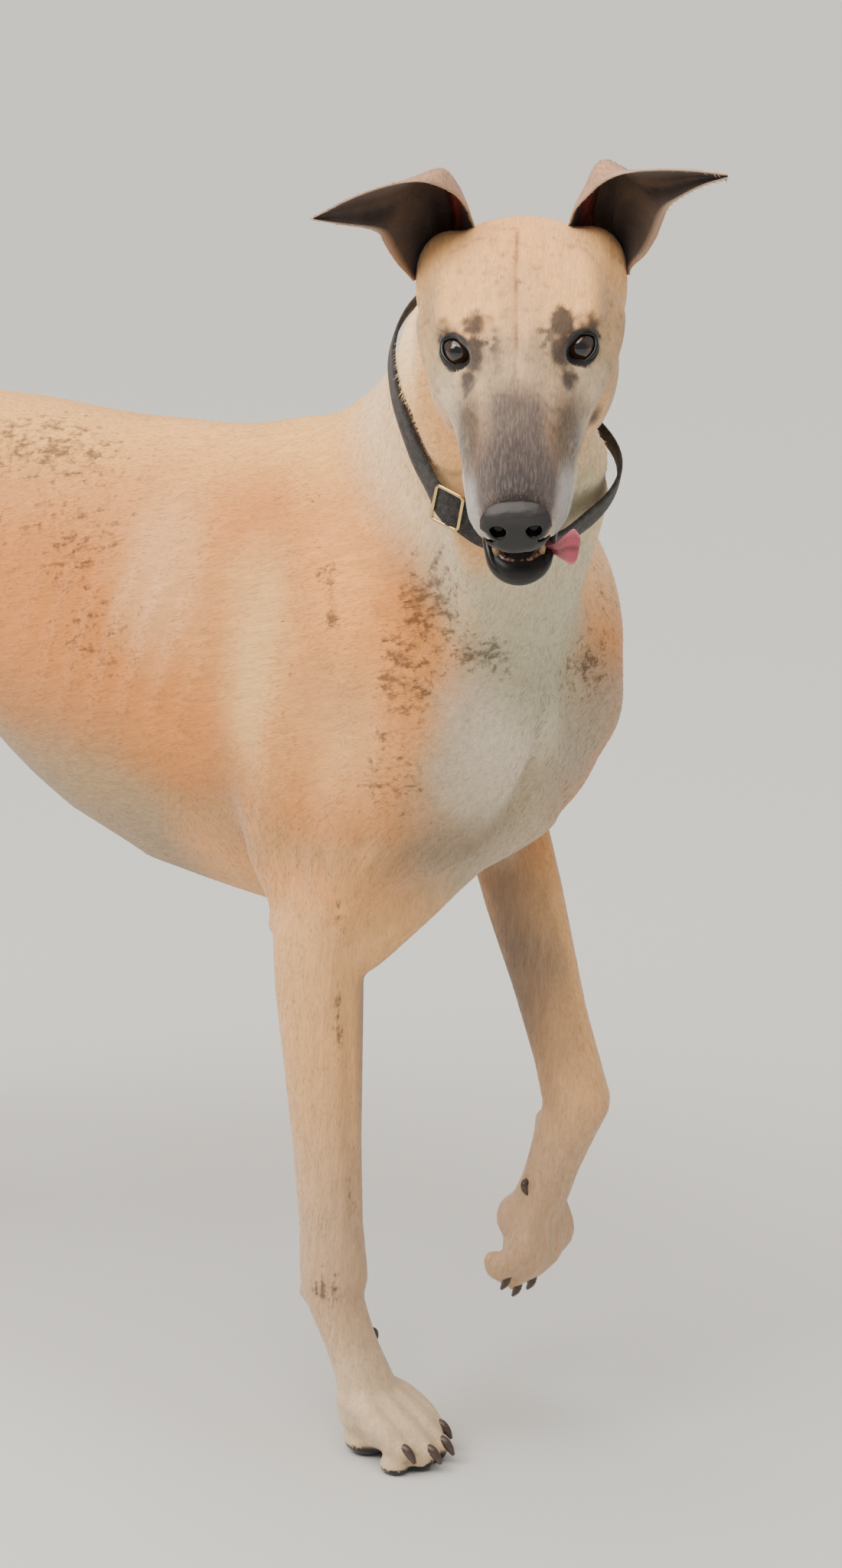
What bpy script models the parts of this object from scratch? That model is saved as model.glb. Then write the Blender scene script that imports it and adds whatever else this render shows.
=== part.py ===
"""A standing greyhound, life size, with its left forefoot lifted and its head turned to the right.

The animal faces +X, its left side is +Y and up is +Z. Lengths are in metres. Each region of flesh
is a set of rounded masses: tubes along bones, lofted trunk sections and muscle bellies. They are
fused by a voxel remesh, smoothed, made coarser, and parted into nodes by thin cuts.
"""
import math

import bmesh
import bpy
import numpy as np
from mathutils import Euler, Matrix, Vector

# Gap between neighbouring nodes, face to face.
GAP = 0.0003

# Fineness of the fused flesh and the triangles each region keeps.
BODY_VOXEL = 0.0023
HEAD_VOXEL = 0.0012
BODY_TRIANGLES = 6200
PAW_TRIANGLES = 2000
HEAD_TRIANGLES = 3500

# The frame of the head: its origin lies over the nose tip, +X to the nose, +Y to the left ear.
HEAD_PLACE = (0.3325, -0.2757, 0.7084)
HEAD_YAW = -52.5
HEAD_PITCH = 28.0
HEAD_ROLL = 2.6

# Joints of the legs on the right side and on the left side.
SHOULDER_RIGHT = (0.086, -0.066, 0.508)
SHOULDER_LEFT = (0.113, 0.068, 0.520)
ELBOW_RIGHT = (0.010, -0.074, 0.368)
ELBOW_LEFT = (0.036, 0.080, 0.440)
CARPUS_RIGHT = (0.013, -0.062, 0.122)
CARPUS_LEFT = (0.108, 0.082, 0.229)
PASTERN_LEFT = (0.070, 0.082, 0.136)
FOREPAW_RIGHT = (0.034, -0.054, 0.0)
FOREPAW_HEADING = 8.0
STIFLE_RIGHT = (-0.430, -0.084, 0.392)
STIFLE_LEFT = (-0.498, 0.084, 0.388)
HOCK_RIGHT = (-0.594, -0.088, 0.186)
HOCK_LEFT = (-0.672, 0.092, 0.192)
HINDPAW_RIGHT = (-0.574, -0.089, 0.0)
HINDPAW_LEFT = (-0.640, 0.094, 0.0)

# Sizes of a paw: toe spread, reach of the inner and outer toes from the heel, toe thickness.
TOE_SPREAD = (-0.0225, -0.0080, 0.0080, 0.0225)
TOE_REACH = (0.046, 0.058, 0.058, 0.046)
TOE_RADIUS = 0.0092
PAW_REACH = 0.050
CLAW_LENGTH = 0.011
CLAW_RADIUS = 0.0029

# The eyes, in the frame of the head.
EYE_RADIUS = 0.0110
LID_THICKNESS = 0.0022
LID_OPENING = (0.0122, 0.0112, 0.0083, 0.0078)
EYE_PLACE = (-0.1535, 0.0325, -0.0080)
EYE_GAZE_OUT = 17.0
EYE_GAZE_UP = 32.0
LID_TILT = 23.0

# Place along the belly and height of each pair of teats.
TEATS = ((-0.185, 0.371), (-0.262, 0.394), (-0.330, 0.436))

# The cut between head and neck, in the frame of the head.
NECK_CUT_PLACE = (-0.2385, 0.0, -0.043)
NECK_CUT_ALONG = (0.92, 0.0, 0.393)

# Colour, roughness and metallic value of each node.
COAT = ((0.58, 0.36, 0.18), 0.75)
FINISHES = {
    "head": COAT,
    "jaw": COAT,
    "neck": COAT,
    "torso": COAT,
    "tail": COAT,
    "foreleg_right": COAT,
    "foreleg_left": COAT,
    "hindleg_right": COAT,
    "hindleg_left": COAT,
    "ear_right": ((0.09, 0.06, 0.05), 0.75),
    "ear_left": ((0.09, 0.06, 0.05), 0.75),
    "nose": ((0.02, 0.02, 0.023), 0.35),
    "tongue": ((0.55, 0.13, 0.15), 0.30),
    "eye_right": ((0.05, 0.02, 0.01), 0.08),
    "eye_left": ((0.05, 0.02, 0.01), 0.08),
    "collar_strap": ((0.02, 0.02, 0.02), 0.85),
    "collar_slide": ((0.60, 0.45, 0.18), 0.30, 1.0),
    "collar_buckle": ((0.015, 0.015, 0.015), 0.35),
}

# The collar: middle of the loop, its direction along the neck, and the strap's section.
COLLAR_PLACE = (0.150, -0.062, 0.714)
COLLAR_ALONG = (0.745, -0.44, 0.50)
STRAP_WIDTH = 0.018
STRAP_THICKNESS = 0.0024

# The metal slide and the moulded buckle: direction from the middle of the loop, length along the
# strap, width across it, and thickness. The slide's bars are as wide as SLIDE_BAR.
SLIDE_TOWARD = (0.09, -0.75, -0.65)
SLIDE_SIZE = (0.022, 0.023, 0.0022)
SLIDE_BAR = 0.0023
BUCKLE_TOWARD = (0.42, 0.89, 0.17)
BUCKLE_SIZE = (0.046, 0.024, 0.0070)
HARDWARE_GAP = 0.0012


def clear_scene():
    """Start from an empty scene."""
    for item in list(bpy.data.objects):
        bpy.data.objects.remove(item)


def smooth_rows(stations, steps):
    """Rows of numbers on a Catmull-Rom curve through the stations."""
    rows = np.array(stations, float)
    padded = np.vstack([2 * rows[0] - rows[1], rows, 2 * rows[-1] - rows[-2]])
    result = []
    for index in range(1, len(padded) - 2):
        before, start, end, after = padded[index - 1:index + 3]
        for step in range(steps):
            t = step / steps
            bend = 2 * before - 5 * start + 4 * end - after
            twist = 3 * start - before - 3 * end + after
            result.append(0.5 * (2 * start + (end - before) * t + bend * t ** 2 + twist * t ** 3))
    result.append(rows[-1])
    return np.array(result)


def mesh_object(name, points, faces):
    """A mesh object from points and faces, with its faces turned outward."""
    mesh = bpy.data.meshes.new(name)
    mesh.from_pydata([tuple(point) for point in points], [], faces)
    shape = bmesh.new()
    shape.from_mesh(mesh)
    bmesh.ops.recalc_face_normals(shape, faces=shape.faces)
    shape.to_mesh(mesh)
    shape.free()
    item = bpy.data.objects.new(name, mesh)
    bpy.context.collection.objects.link(item)
    return item


def skin_rings(name, rings):
    """A closed solid over a row of rings that have equal numbers of points."""
    count = len(rings[0])
    points = [point for ring in rings for point in ring]
    faces = []
    for row in range(len(rings) - 1):
        for side in range(count):
            turn = (side + 1) % count
            faces.append((row * count + side, row * count + turn,
                          (row + 1) * count + turn, (row + 1) * count + side))
    faces.append(tuple(range(count)))
    faces.append(tuple((len(rings) - 1) * count + side for side in range(count)))
    return mesh_object(name, points, faces)


def tube(name, stations, front=(1, 0, 0), sides=20, steps=4, rounded=True):
    """A tube through stations of x, y, z, half breadth and half depth, with rounded ends.

    The half depth is measured toward the front vector and the half breadth across it.
    """
    rows = smooth_rows(stations, steps)
    heading = np.gradient(rows[:, :3], axis=0)
    heading /= np.linalg.norm(heading, axis=1)[:, None]
    rings = []
    angles = np.linspace(0, 2 * math.pi, sides, endpoint=False)

    def ring(centre, along, breadth, depth):
        forward = np.array(front, float) - np.dot(front, along) * along
        forward /= np.linalg.norm(forward)
        across = np.cross(along, forward)
        return [centre + across * breadth * math.cos(a) + forward * depth * math.sin(a)
                for a in angles]

    def cap(row, along, outward):
        reach = min(row[3], row[4])
        return [ring(row[:3] + outward * along * reach * math.sin(lift), along,
                     row[3] * math.cos(lift), row[4] * math.cos(lift))
                for lift in (math.radians(30), math.radians(60), math.radians(82))]

    if rounded:
        rings += reversed(cap(rows[0], heading[0], -1))
    rings += [ring(row[:3], along, row[3], row[4]) for row, along in zip(rows, heading)]
    if rounded:
        rings += cap(rows[-1], heading[-1], 1)
    return skin_rings(name, rings)


def loft(name, stations, sides=40, steps=5):
    """A trunk lofted along X from upright sections.

    A station is x, top, height of the greatest breadth, bottom, half breadth, and two powers that
    make the upper and the lower half of the section fuller (under 1) or narrower (over 1).
    """
    rings = []
    for x, top, middle, bottom, breadth, upper, lower in smooth_rows(stations, steps):
        ring = []
        for a in np.linspace(0, 2 * math.pi, sides, endpoint=False):
            power = upper if math.sin(a) > 0 else lower
            height = (top - middle) if math.sin(a) > 0 else (middle - bottom)
            across = math.copysign(abs(math.cos(a)) ** power, math.cos(a))
            ring.append((x, breadth * across, middle + height * math.sin(a)))
        rings.append(ring)
    return skin_rings(name, rings)


def mass(name, place, radii, turn=(0, 0, 0), detail=4):
    """An ellipsoid of flesh, turned by angles in degrees."""
    shape = bmesh.new()
    bmesh.ops.create_icosphere(shape, subdivisions=detail, radius=1)
    angles = Euler([math.radians(angle) for angle in turn])
    matrix = Matrix.LocRotScale(Vector(place), angles, Vector(radii))
    bmesh.ops.transform(shape, matrix=matrix, verts=shape.verts)
    mesh = bpy.data.meshes.new(name)
    shape.to_mesh(mesh)
    shape.free()
    item = bpy.data.objects.new(name, mesh)
    bpy.context.collection.objects.link(item)
    return item


def moved(item, matrix):
    """Turn and shift an object's mesh by a matrix."""
    item.data.transform(matrix)
    return item


def settle(item):
    """Turn an object's modifiers into its mesh."""
    graph = bpy.context.evaluated_depsgraph_get()
    mesh = bpy.data.meshes.new_from_object(item.evaluated_get(graph))
    item.modifiers.clear()
    item.data = mesh
    return item


def discard(items):
    """Remove helper objects."""
    for item in items:
        bpy.data.objects.remove(item)


def joined(name, pieces):
    """One mesh object that holds all the pieces' surfaces."""
    whole = bmesh.new()
    for piece in pieces:
        whole.from_mesh(piece.data)
    mesh = bpy.data.meshes.new(name)
    whole.to_mesh(mesh)
    whole.free()
    discard(pieces)
    item = bpy.data.objects.new(name, mesh)
    bpy.context.collection.objects.link(item)
    return item


def remesh(item, voxel):
    """Fuse the surfaces of an object into one skin."""
    modifier = item.modifiers.new("fuse", "REMESH")
    modifier.mode = "VOXEL"
    modifier.voxel_size = voxel
    return settle(item)


def soften(item, rounds, zones=()):
    """Smooth an object, all over or only near the zones given as a place and its reaches."""
    modifier = item.modifiers.new("soften", "SMOOTH")
    modifier.factor = 0.9 if zones else 0.5
    modifier.iterations = rounds
    if zones:
        group = item.vertex_groups.new(name="soft")
        places = np.array([vertex.co for vertex in item.data.vertices])
        weight = np.zeros(len(places))
        for place, radii in zones:
            reach = np.linalg.norm((places - np.array(place)) / np.array(radii), axis=1)
            weight = np.maximum(weight, np.clip(2.2 - 2.2 * reach, 0, 1))
        for index in np.nonzero(weight > 0.01)[0]:
            group.add([int(index)], float(weight[index]), "REPLACE")
        modifier.vertex_group = "soft"
    settle(item)
    item.vertex_groups.clear()
    return item


def triangle_count(item):
    """Number of triangles in an object's mesh."""
    return sum(len(face.vertices) - 2 for face in item.data.polygons)


def coarsen(item, triangles, places=(), reach=0.0, inside=False):
    """Reduce an object to about this many triangles, or only inside or outside some spheres."""
    modifier = item.modifiers.new("coarsen", "DECIMATE")
    modifier.ratio = triangles / triangle_count(item)
    if places:
        group = item.vertex_groups.new(name="coarse")
        points = np.array([vertex.co for vertex in item.data.vertices])
        near = np.min([np.linalg.norm(points - np.array(place), axis=1) for place in places], axis=0)
        chosen = np.nonzero((near < reach) == inside)[0]
        group.add(chosen.tolist(), 1.0, "REPLACE")
        modifier.vertex_group = "coarse"
    settle(item)
    item.vertex_groups.clear()
    shape = bmesh.new()
    shape.from_mesh(item.data)
    bmesh.ops.triangulate(shape, faces=shape.faces)
    shape.to_mesh(item.data)
    shape.free()
    return item


def boolean(item, others, operation="DIFFERENCE", solver="EXACT"):
    """Cut, join or cross an object with others, which are used up."""
    for other in others:
        modifier = item.modifiers.new("cut", "BOOLEAN")
        modifier.operation = operation
        modifier.solver = solver
        modifier.object = other
    settle(item)
    discard(others)
    return item


def pieces_by_size(item):
    """The closed surfaces of an object as objects of their own, largest first."""
    whole = bmesh.new()
    whole.from_mesh(item.data)
    whole.verts.ensure_lookup_table()
    mark = {}
    groups = []
    for vertex in whole.verts:
        if vertex.index in mark:
            continue
        mark[vertex.index] = len(groups)
        stack = [vertex]
        members = [vertex.index]
        while stack:
            for edge in stack.pop().link_edges:
                for other in edge.verts:
                    if other.index not in mark:
                        mark[other.index] = len(groups)
                        members.append(other.index)
                        stack.append(other)
        groups.append(set(members))
    whole.free()
    groups.sort(key=len, reverse=True)
    result = []
    for members in groups:
        piece = item.copy()
        piece.data = item.data.copy()
        bpy.context.collection.objects.link(piece)
        shape = bmesh.new()
        shape.from_mesh(piece.data)
        spare = [vertex for vertex in shape.verts if vertex.index not in members]
        bmesh.ops.delete(shape, geom=spare, context="VERTS")
        shape.to_mesh(piece.data)
        shape.free()
        result.append(piece)
    discard([item])
    return result


def largest(item):
    """Keep only the largest closed surface of an object."""
    name = item.name
    pieces = pieces_by_size(item)
    discard(pieces[1:])
    pieces[0].name = name
    return pieces[0]


def part_nodes(item, places):
    """Name the closed pieces of a cut object by the nearest of the named places."""
    pieces = pieces_by_size(item)
    nodes = {}
    for name, place in places.items():
        free = [piece for piece in pieces if piece not in nodes.values()][:len(places) + 2]
        large = [piece for piece in free if len(piece.data.vertices) > 60]
        near = min(large, key=lambda piece: (centre_of(piece) - Vector(place)).length)
        near.name = name
        nodes[name] = near
    discard([piece for piece in pieces if piece not in nodes.values()])
    return nodes


def centre_of(item):
    """The middle of an object's points."""
    total = Vector((0, 0, 0))
    for vertex in item.data.vertices:
        total += vertex.co
    return total / len(item.data.vertices)


def prism(name, outline, reach):
    """A closed solid over a flat outline, drawn out along a vector."""
    near = [Vector(point) for point in outline]
    far = [point + Vector(reach) for point in near]
    count = len(near)
    faces = [tuple(range(count)), tuple(range(count, 2 * count))]
    for side in range(count):
        turn = (side + 1) % count
        faces.append((side, turn, count + turn, count + side))
    return mesh_object(name, near + far, faces)


def wall(item):
    """Turn a solid into a thin wall along its surface, one gap thick, to cut with."""
    modifier = item.modifiers.new("wall", "SOLIDIFY")
    modifier.thickness = GAP
    modifier.offset = 0
    modifier.use_even_offset = True
    return settle(item)


def slab(name, place, along, thickness, half=0.2):
    """A flat square plate across a direction."""
    turn = Vector(along).to_track_quat("Z", "Y").to_matrix().to_4x4()
    shape = bmesh.new()
    bmesh.ops.create_cube(shape, size=1)
    size = Matrix.Diagonal((2 * half, 2 * half, thickness, 1))
    bmesh.ops.transform(shape, matrix=Matrix.Translation(place) @ turn @ size, verts=shape.verts)
    mesh = bpy.data.meshes.new(name)
    shape.to_mesh(mesh)
    shape.free()
    item = bpy.data.objects.new(name, mesh)
    bpy.context.collection.objects.link(item)
    return item


def swollen(item, distance, name="swollen"):
    """A copy of an object whose surface stands off by a distance."""
    copy = item.copy()
    copy.data = item.data.copy()
    copy.name = name
    bpy.context.collection.objects.link(copy)
    modifier = copy.modifiers.new("swell", "DISPLACE")
    modifier.mid_level = 0
    modifier.strength = distance
    return settle(copy)


def head_matrix():
    """Place of the head's own frame in the world."""
    turn = Euler((math.radians(HEAD_ROLL), math.radians(HEAD_PITCH), math.radians(HEAD_YAW)))
    return Matrix.Translation(HEAD_PLACE) @ turn.to_matrix().to_4x4()


def trunk_pieces():
    """Ribcage, loin and croup, with the breast, the ridge of the withers and the hips."""
    sections = [
        (0.140, 0.535, 0.505, 0.478, 0.020, 1.0, 1.0),
        (0.128, 0.575, 0.515, 0.450, 0.048, 1.0, 1.0),
        (0.105, 0.620, 0.525, 0.424, 0.066, 1.0, 1.0),
        (0.070, 0.660, 0.530, 0.396, 0.074, 1.0, 1.0),
        (0.030, 0.688, 0.530, 0.372, 0.078, 1.1, 1.1),
        (-0.010, 0.698, 0.528, 0.358, 0.081, 1.15, 1.15),
        (-0.060, 0.691, 0.522, 0.353, 0.086, 1.1, 1.15),
        (-0.110, 0.681, 0.516, 0.356, 0.090, 1.0, 1.1),
        (-0.170, 0.678, 0.516, 0.363, 0.092, 0.95, 1.05),
        (-0.230, 0.679, 0.524, 0.379, 0.091, 0.9, 1.0),
        (-0.290, 0.681, 0.537, 0.404, 0.087, 0.9, 1.0),
        (-0.350, 0.682, 0.555, 0.446, 0.079, 0.9, 1.0),
        (-0.410, 0.685, 0.578, 0.484, 0.071, 0.9, 1.0),
        (-0.455, 0.684, 0.585, 0.502, 0.066, 0.9, 1.0),
        (-0.500, 0.666, 0.585, 0.508, 0.060, 0.9, 1.0),
        (-0.545, 0.632, 0.575, 0.512, 0.044, 1.0, 1.0),
        (-0.572, 0.603, 0.565, 0.528, 0.022, 1.0, 1.0),
    ]
    pieces = [loft("trunk", sections)]
    for side in (-1, 1):
        pieces.append(mass("breast", (0.088, side * 0.036, 0.462), (0.042, 0.040, 0.052),
                           (0, 25, 0)))
        pieces.append(mass("hip_bone", (-0.440, side * 0.046, 0.656), (0.030, 0.014, 0.018),
                           (0, 14, 0)))
        pieces.append(tube("breast_fold", [
            (0.088, side * 0.010, 0.432, 0.024, 0.022),
            (0.066, side * 0.036, 0.396 + 0.012 * (side + 1), 0.022, 0.020),
            (0.034, side * 0.060, 0.356 + 0.030 * (side + 1), 0.018, 0.018),
        ]))
        pieces.append(mass("loin_muscle", (-0.345, side * 0.030, 0.657), (0.110, 0.026, 0.021)))
        for x, z in TEATS:
            pieces.append(mass("teat", (x, side * 0.030, z), (0.0044, 0.0044, 0.0100)))
    pieces.append(tube("back_ridge", [
        (0.020, 0.0, 0.675, 0.012, 0.020),
        (-0.040, 0.0, 0.678, 0.010, 0.019),
        (-0.120, 0.0, 0.668, 0.009, 0.016),
        (-0.200, 0.0, 0.668, 0.009, 0.016),
    ], front=(0, 0, 1)))
    return pieces


def neck_pieces():
    """The neck, thick at the shoulders, with its crest, its throat and the strap muscles."""
    pieces = [tube("neck", [
        (0.000, 0.000, 0.594, 0.070, 0.103),
        (0.050, -0.008, 0.638, 0.064, 0.094),
        (0.096, -0.032, 0.680, 0.057, 0.084),
        (0.137, -0.058, 0.722, 0.055, 0.076),
        (0.171, -0.082, 0.757, 0.053, 0.069),
        (0.198, -0.104, 0.776, 0.045, 0.057),
        (0.216, -0.120, 0.780, 0.036, 0.042),
    ], front=(0, 0, 1), sides=32)]
    for side, jaw, breast in ((-1, (0.186, -0.128, 0.748), (0.112, -0.030, 0.550)),
                              (1, (0.212, -0.086, 0.742), (0.118, 0.030, 0.550))):
        middle = (Vector(jaw) + Vector(breast)) / 2 + Vector((0.014, side * 0.016, 0.004))
        upper = (Vector(jaw) + middle) / 2 + Vector((0.003, side * 0.005, 0))
        pieces.append(tube("strap_muscle", [
            (*jaw, 0.014, 0.012),
            (*upper, 0.020, 0.015),
            (*middle, 0.020, 0.015),
            (*breast, 0.020, 0.012),
        ]))
    pieces.append(tube("shoulder_front", [
        (0.086, 0.040, 0.655, 0.026, 0.026),
        (0.106, 0.059, 0.615, 0.030, 0.028),
        (0.119, 0.067, 0.570, 0.031, 0.028),
        (0.119, 0.068, 0.530, 0.029, 0.026),
    ]))
    pieces.append(tube("throat", [
        (0.200, -0.104, 0.738, 0.026, 0.026),
        (0.172, -0.062, 0.690, 0.034, 0.032),
        (0.136, -0.022, 0.640, 0.040, 0.036),
        (0.112, 0.000, 0.585, 0.040, 0.034),
    ]))
    pieces.append(tube("windpipe", [
        (0.212, -0.122, 0.712, 0.018, 0.014),
        (0.190, -0.080, 0.668, 0.020, 0.016),
        (0.152, -0.032, 0.612, 0.022, 0.016),
        (0.128, -0.004, 0.556, 0.018, 0.012),
    ]))
    return pieces


def shoulder_pieces(side, shoulder, elbow, blade_top):
    """Shoulder blade, upper arm and the triceps behind it."""
    sx, sy, sz = shoulder
    ex, ey, ez = elbow
    tx, tz = blade_top
    blade = [
        (tx, side * 0.036, tz, 0.016, 0.042),
        ((tx * 2 + sx) / 3 - 0.004, side * 0.052, (tz * 2 + sz) / 3, 0.024, 0.056),
        ((tx + sx * 2) / 3 - 0.002, side * 0.063, (tz + sz * 2) / 3, 0.027, 0.050),
        (sx, sy, sz, 0.027, 0.038),
    ]
    arm = [
        (sx, sy, sz, 0.027, 0.038),
        ((sx + ex) / 2, (sy + ey) / 2 + side * 0.002, (sz + ez) / 2, 0.025, 0.038),
        (ex, ey, ez, 0.021, 0.029),
    ]
    triceps = [
        (tx - 0.030, side * 0.052, sz + 0.090, 0.018, 0.034),
        (sx * 0.35 + ex * 0.65 - 0.052, side * 0.068, sz + 0.015, 0.024, 0.042),
        (sx * 0.25 + ex * 0.75 - 0.046, side * 0.074, (sz + ez) / 2 - 0.006, 0.023, 0.036),
        (ex - 0.022, ey, ez + 0.014, 0.014, 0.018),
        (ex - 0.033, ey - side * 0.001, ez - 0.002, 0.010, 0.010),
    ]
    pieces = [tube("blade", blade), tube("upper_arm", arm), tube("triceps", triceps)]
    pieces.append(mass("shoulder_point", (sx + 0.002, sy - side * 0.004, sz - 0.006),
                       (0.037, 0.029, 0.048), (0, 12, 0)))
    pieces.append(mass("arm_front", ((sx * 2 + ex) / 3 + 0.006, sy, (sz * 2 + ez) / 3 - 0.014),
                       (0.036, 0.028, 0.046), (0, 24, 0)))
    pieces.append(tube("blade_spine", [
        (tx + 0.004, side * 0.052, tz - 0.012, 0.006, 0.007),
        ((tx + sx) / 2 + 0.004, side * 0.081, (tz + sz) / 2, 0.007, 0.009),
        (sx - 0.004, side * 0.089, sz + 0.024, 0.007, 0.010),
    ]))
    return pieces


def forearm_pieces(side, elbow, carpus):
    """Forearm from the elbow to the carpus, broad above and lean below."""
    e = Vector(elbow)
    c = Vector(carpus)
    steps = (
        (0.00, 0.0235, 0.0320),
        (0.16, 0.0255, 0.0320),
        (0.36, 0.0240, 0.0290),
        (0.62, 0.0205, 0.0250),
        (0.84, 0.0200, 0.0230),
        (1.00, 0.0220, 0.0245),
    )
    return [tube("forearm", [(*e.lerp(c, t), breadth, depth) for t, breadth, depth in steps])]


def standing_pastern(carpus, paw, carpal_pad=True):
    """The slanting bones between a joint and a paw on the floor."""
    c = Vector(carpus)
    p = Vector(paw) + Vector((0.004, 0, 0.040))
    middle = c.lerp(p, 0.55) + Vector((-0.003, 0, 0))
    pieces = [tube("pastern", [
        (*(c + Vector((0, 0, 0.006))), 0.0205, 0.0235),
        (*(c + Vector((0.001, 0, -0.014))), 0.0195, 0.0205),
        (*middle, 0.0185, 0.0165),
        (*p, 0.0225, 0.0165),
    ])]
    if carpal_pad:
        pad = c + Vector((-0.0200, -0.002, -0.014))
        pieces.append(mass("carpal_pad", pad, (0.0090, 0.0080, 0.0110)))
    return pieces


def toe_rows(offset, reach, curl):
    """The bones of one toe in the paw's frame, from the heel out; curl bends the tip down."""
    knuckle = reach * 0.50
    fold = math.radians(curl)
    tip_x = knuckle + (reach - knuckle) * math.cos(fold)
    tip_z = 0.030 - (reach - knuckle) * math.sin(fold)
    return [
        (-0.006, offset * 0.60, 0.040, TOE_RADIUS * 0.95, TOE_RADIUS * 1.05),
        (knuckle * 0.55, offset * 0.88, 0.037, TOE_RADIUS * 0.92, TOE_RADIUS * 1.05),
        (knuckle, offset, 0.030, TOE_RADIUS, TOE_RADIUS * 1.05),
        ((knuckle + tip_x) / 2, offset * 1.02, (0.033 + tip_z) / 2, TOE_RADIUS * 0.92,
         TOE_RADIUS * 0.95),
        (tip_x, offset * 1.03, tip_z, TOE_RADIUS * 0.80, TOE_RADIUS * 0.75),
    ]


def paw_pieces(place, heading=0.0, scale=1.0, matrix=None, curl=36.0, pad=(0.0100, 0.0125)):
    """Four arched toes with their claws, the toe pads and the heel pad of a given height."""
    if matrix is None:
        matrix = (Matrix.Translation(place) @ Matrix.Rotation(math.radians(heading), 4, "Z")
                  @ Matrix.Scale(scale, 4))
    pieces = [mass("heel_pad", (0.002, 0, pad[0]), (0.0165, 0.0190, pad[1])),
              mass("paw_core", (0.006, 0, 0.029), (0.025, 0.0240, 0.017)),
              mass("paw_web", (0.024, 0, 0.019), (0.022, 0.0225, 0.013))]
    for offset, reach in zip(TOE_SPREAD, TOE_REACH):
        rows = toe_rows(offset, reach, curl)
        tip = rows[-1]
        pieces.append(tube("toe", rows, front=(0, 0, 1), sides=14, steps=3))
        pieces.append(mass("toe_pad", (tip[0] - 0.005, tip[1], min(tip[2] - 0.0058, 0.0056)),
                           (0.0110, 0.0080, 0.0072)))
        claw = [
            (tip[0] + 0.002, tip[1], tip[2] + 0.0030, CLAW_RADIUS, CLAW_RADIUS * 1.1),
            (tip[0] + 0.006, tip[1], tip[2] + 0.0018, CLAW_RADIUS * 0.9, CLAW_RADIUS),
            (tip[0] + CLAW_LENGTH, tip[1], tip[2] - 0.0040, CLAW_RADIUS * 0.45, CLAW_RADIUS * 0.5),
        ]
        pieces.append(tube("claw", claw, front=(0, 0, 1), sides=8, steps=2))
    return [moved(piece, matrix) for piece in pieces]


def hindleg_pieces(side, stifle, hock, paw, heading):
    """Thigh, lower thigh, hock and the long upright pastern."""
    sx, sy, sz = stifle
    hx, hy, hz = hock
    thigh = [
        (-0.474, side * 0.034, 0.622, 0.030, 0.074),
        (-0.488 + (sx + 0.43) * 0.25, side * 0.048, 0.566, 0.037, 0.086),
        (-0.488 + (sx + 0.43) * 0.50, side * 0.058, 0.508, 0.038, 0.086),
        (sx - 0.040, sy * 0.82, 0.452, 0.035, 0.074),
        (sx - 0.026, sy * 0.93, 0.410, 0.029, 0.053),
        (sx - 0.020, sy, 0.380, 0.024, 0.039),
    ]
    lower = [
        (sx - 0.004, sy, sz, 0.026, 0.034),
        (sx * 0.78 + hx * 0.22, sy, sz * 0.78 + hz * 0.22, 0.0265, 0.036),
        (sx * 0.52 + hx * 0.48, (sy + hy) / 2, sz * 0.52 + hz * 0.48, 0.0205, 0.028),
        (sx * 0.22 + hx * 0.78, hy, sz * 0.22 + hz * 0.78, 0.0145, 0.0185),
        (hx + 0.004, hy, hz + 0.012, 0.0150, 0.0190),
        (hx, hy, hz - 0.012, 0.0165, 0.0190),
    ]
    heel = Vector((hx - 0.033, hy, hz + 0.018))
    tendon = [
        (sx * 0.58 + hx * 0.42 - 0.026, (sy + hy) / 2, sz * 0.58 + hz * 0.42 + 0.010, 0.016, 0.018),
        (sx * 0.25 + hx * 0.75 - 0.030, hy, sz * 0.25 + hz * 0.75 + 0.012, 0.0075, 0.0085),
        (*heel, 0.0085, 0.0090),
    ]
    ankle = [
        (*heel, 0.0090, 0.0095),
        (hx - 0.024, hy, hz - 0.006, 0.0110, 0.0120),
        (hx - 0.010, hy, hz - 0.034, 0.0125, 0.0140),
    ]
    p = Vector(paw) + Vector((0.0, 0, 0.040))
    top = Vector((hx - 0.004, hy, hz - 0.018))
    shank = [
        (*top, 0.0160, 0.0190),
        (*top.lerp(p, 0.30), 0.0135, 0.0160),
        (*top.lerp(p, 0.68), 0.0140, 0.0140),
        (*p, 0.0195, 0.0155),
    ]
    web = [
        (sx * 0.45 + hx * 0.55 - 0.010, (sy + hy) / 2, sz * 0.45 + hz * 0.55 + 0.004, 0.007, 0.024),
        (sx * 0.22 + hx * 0.78 - 0.014, hy, sz * 0.22 + hz * 0.78 + 0.006, 0.0045, 0.020),
        (hx - 0.015, hy, hz + 0.014, 0.0055, 0.018),
    ]
    pieces = [tube("thigh", thigh), tube("lower_thigh", lower), tube("tendon", tendon),
              tube("web", web), tube("ankle", ankle), tube("shank", shank)]
    pieces.append(mass("kneecap", (sx + 0.014, sy, sz + 0.010), (0.016, 0.018, 0.026), (0, 18, 0)))
    pieces.append(tube("flank_fold", [
        (-0.388, side * 0.058, 0.520, 0.014, 0.022),
        (sx + 0.016, sy * 0.84, 0.462, 0.015, 0.022),
        (sx + 0.002, sy, 0.415, 0.018, 0.020),
    ]))
    pieces += paw_pieces(paw, heading, 0.94)
    return pieces


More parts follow.
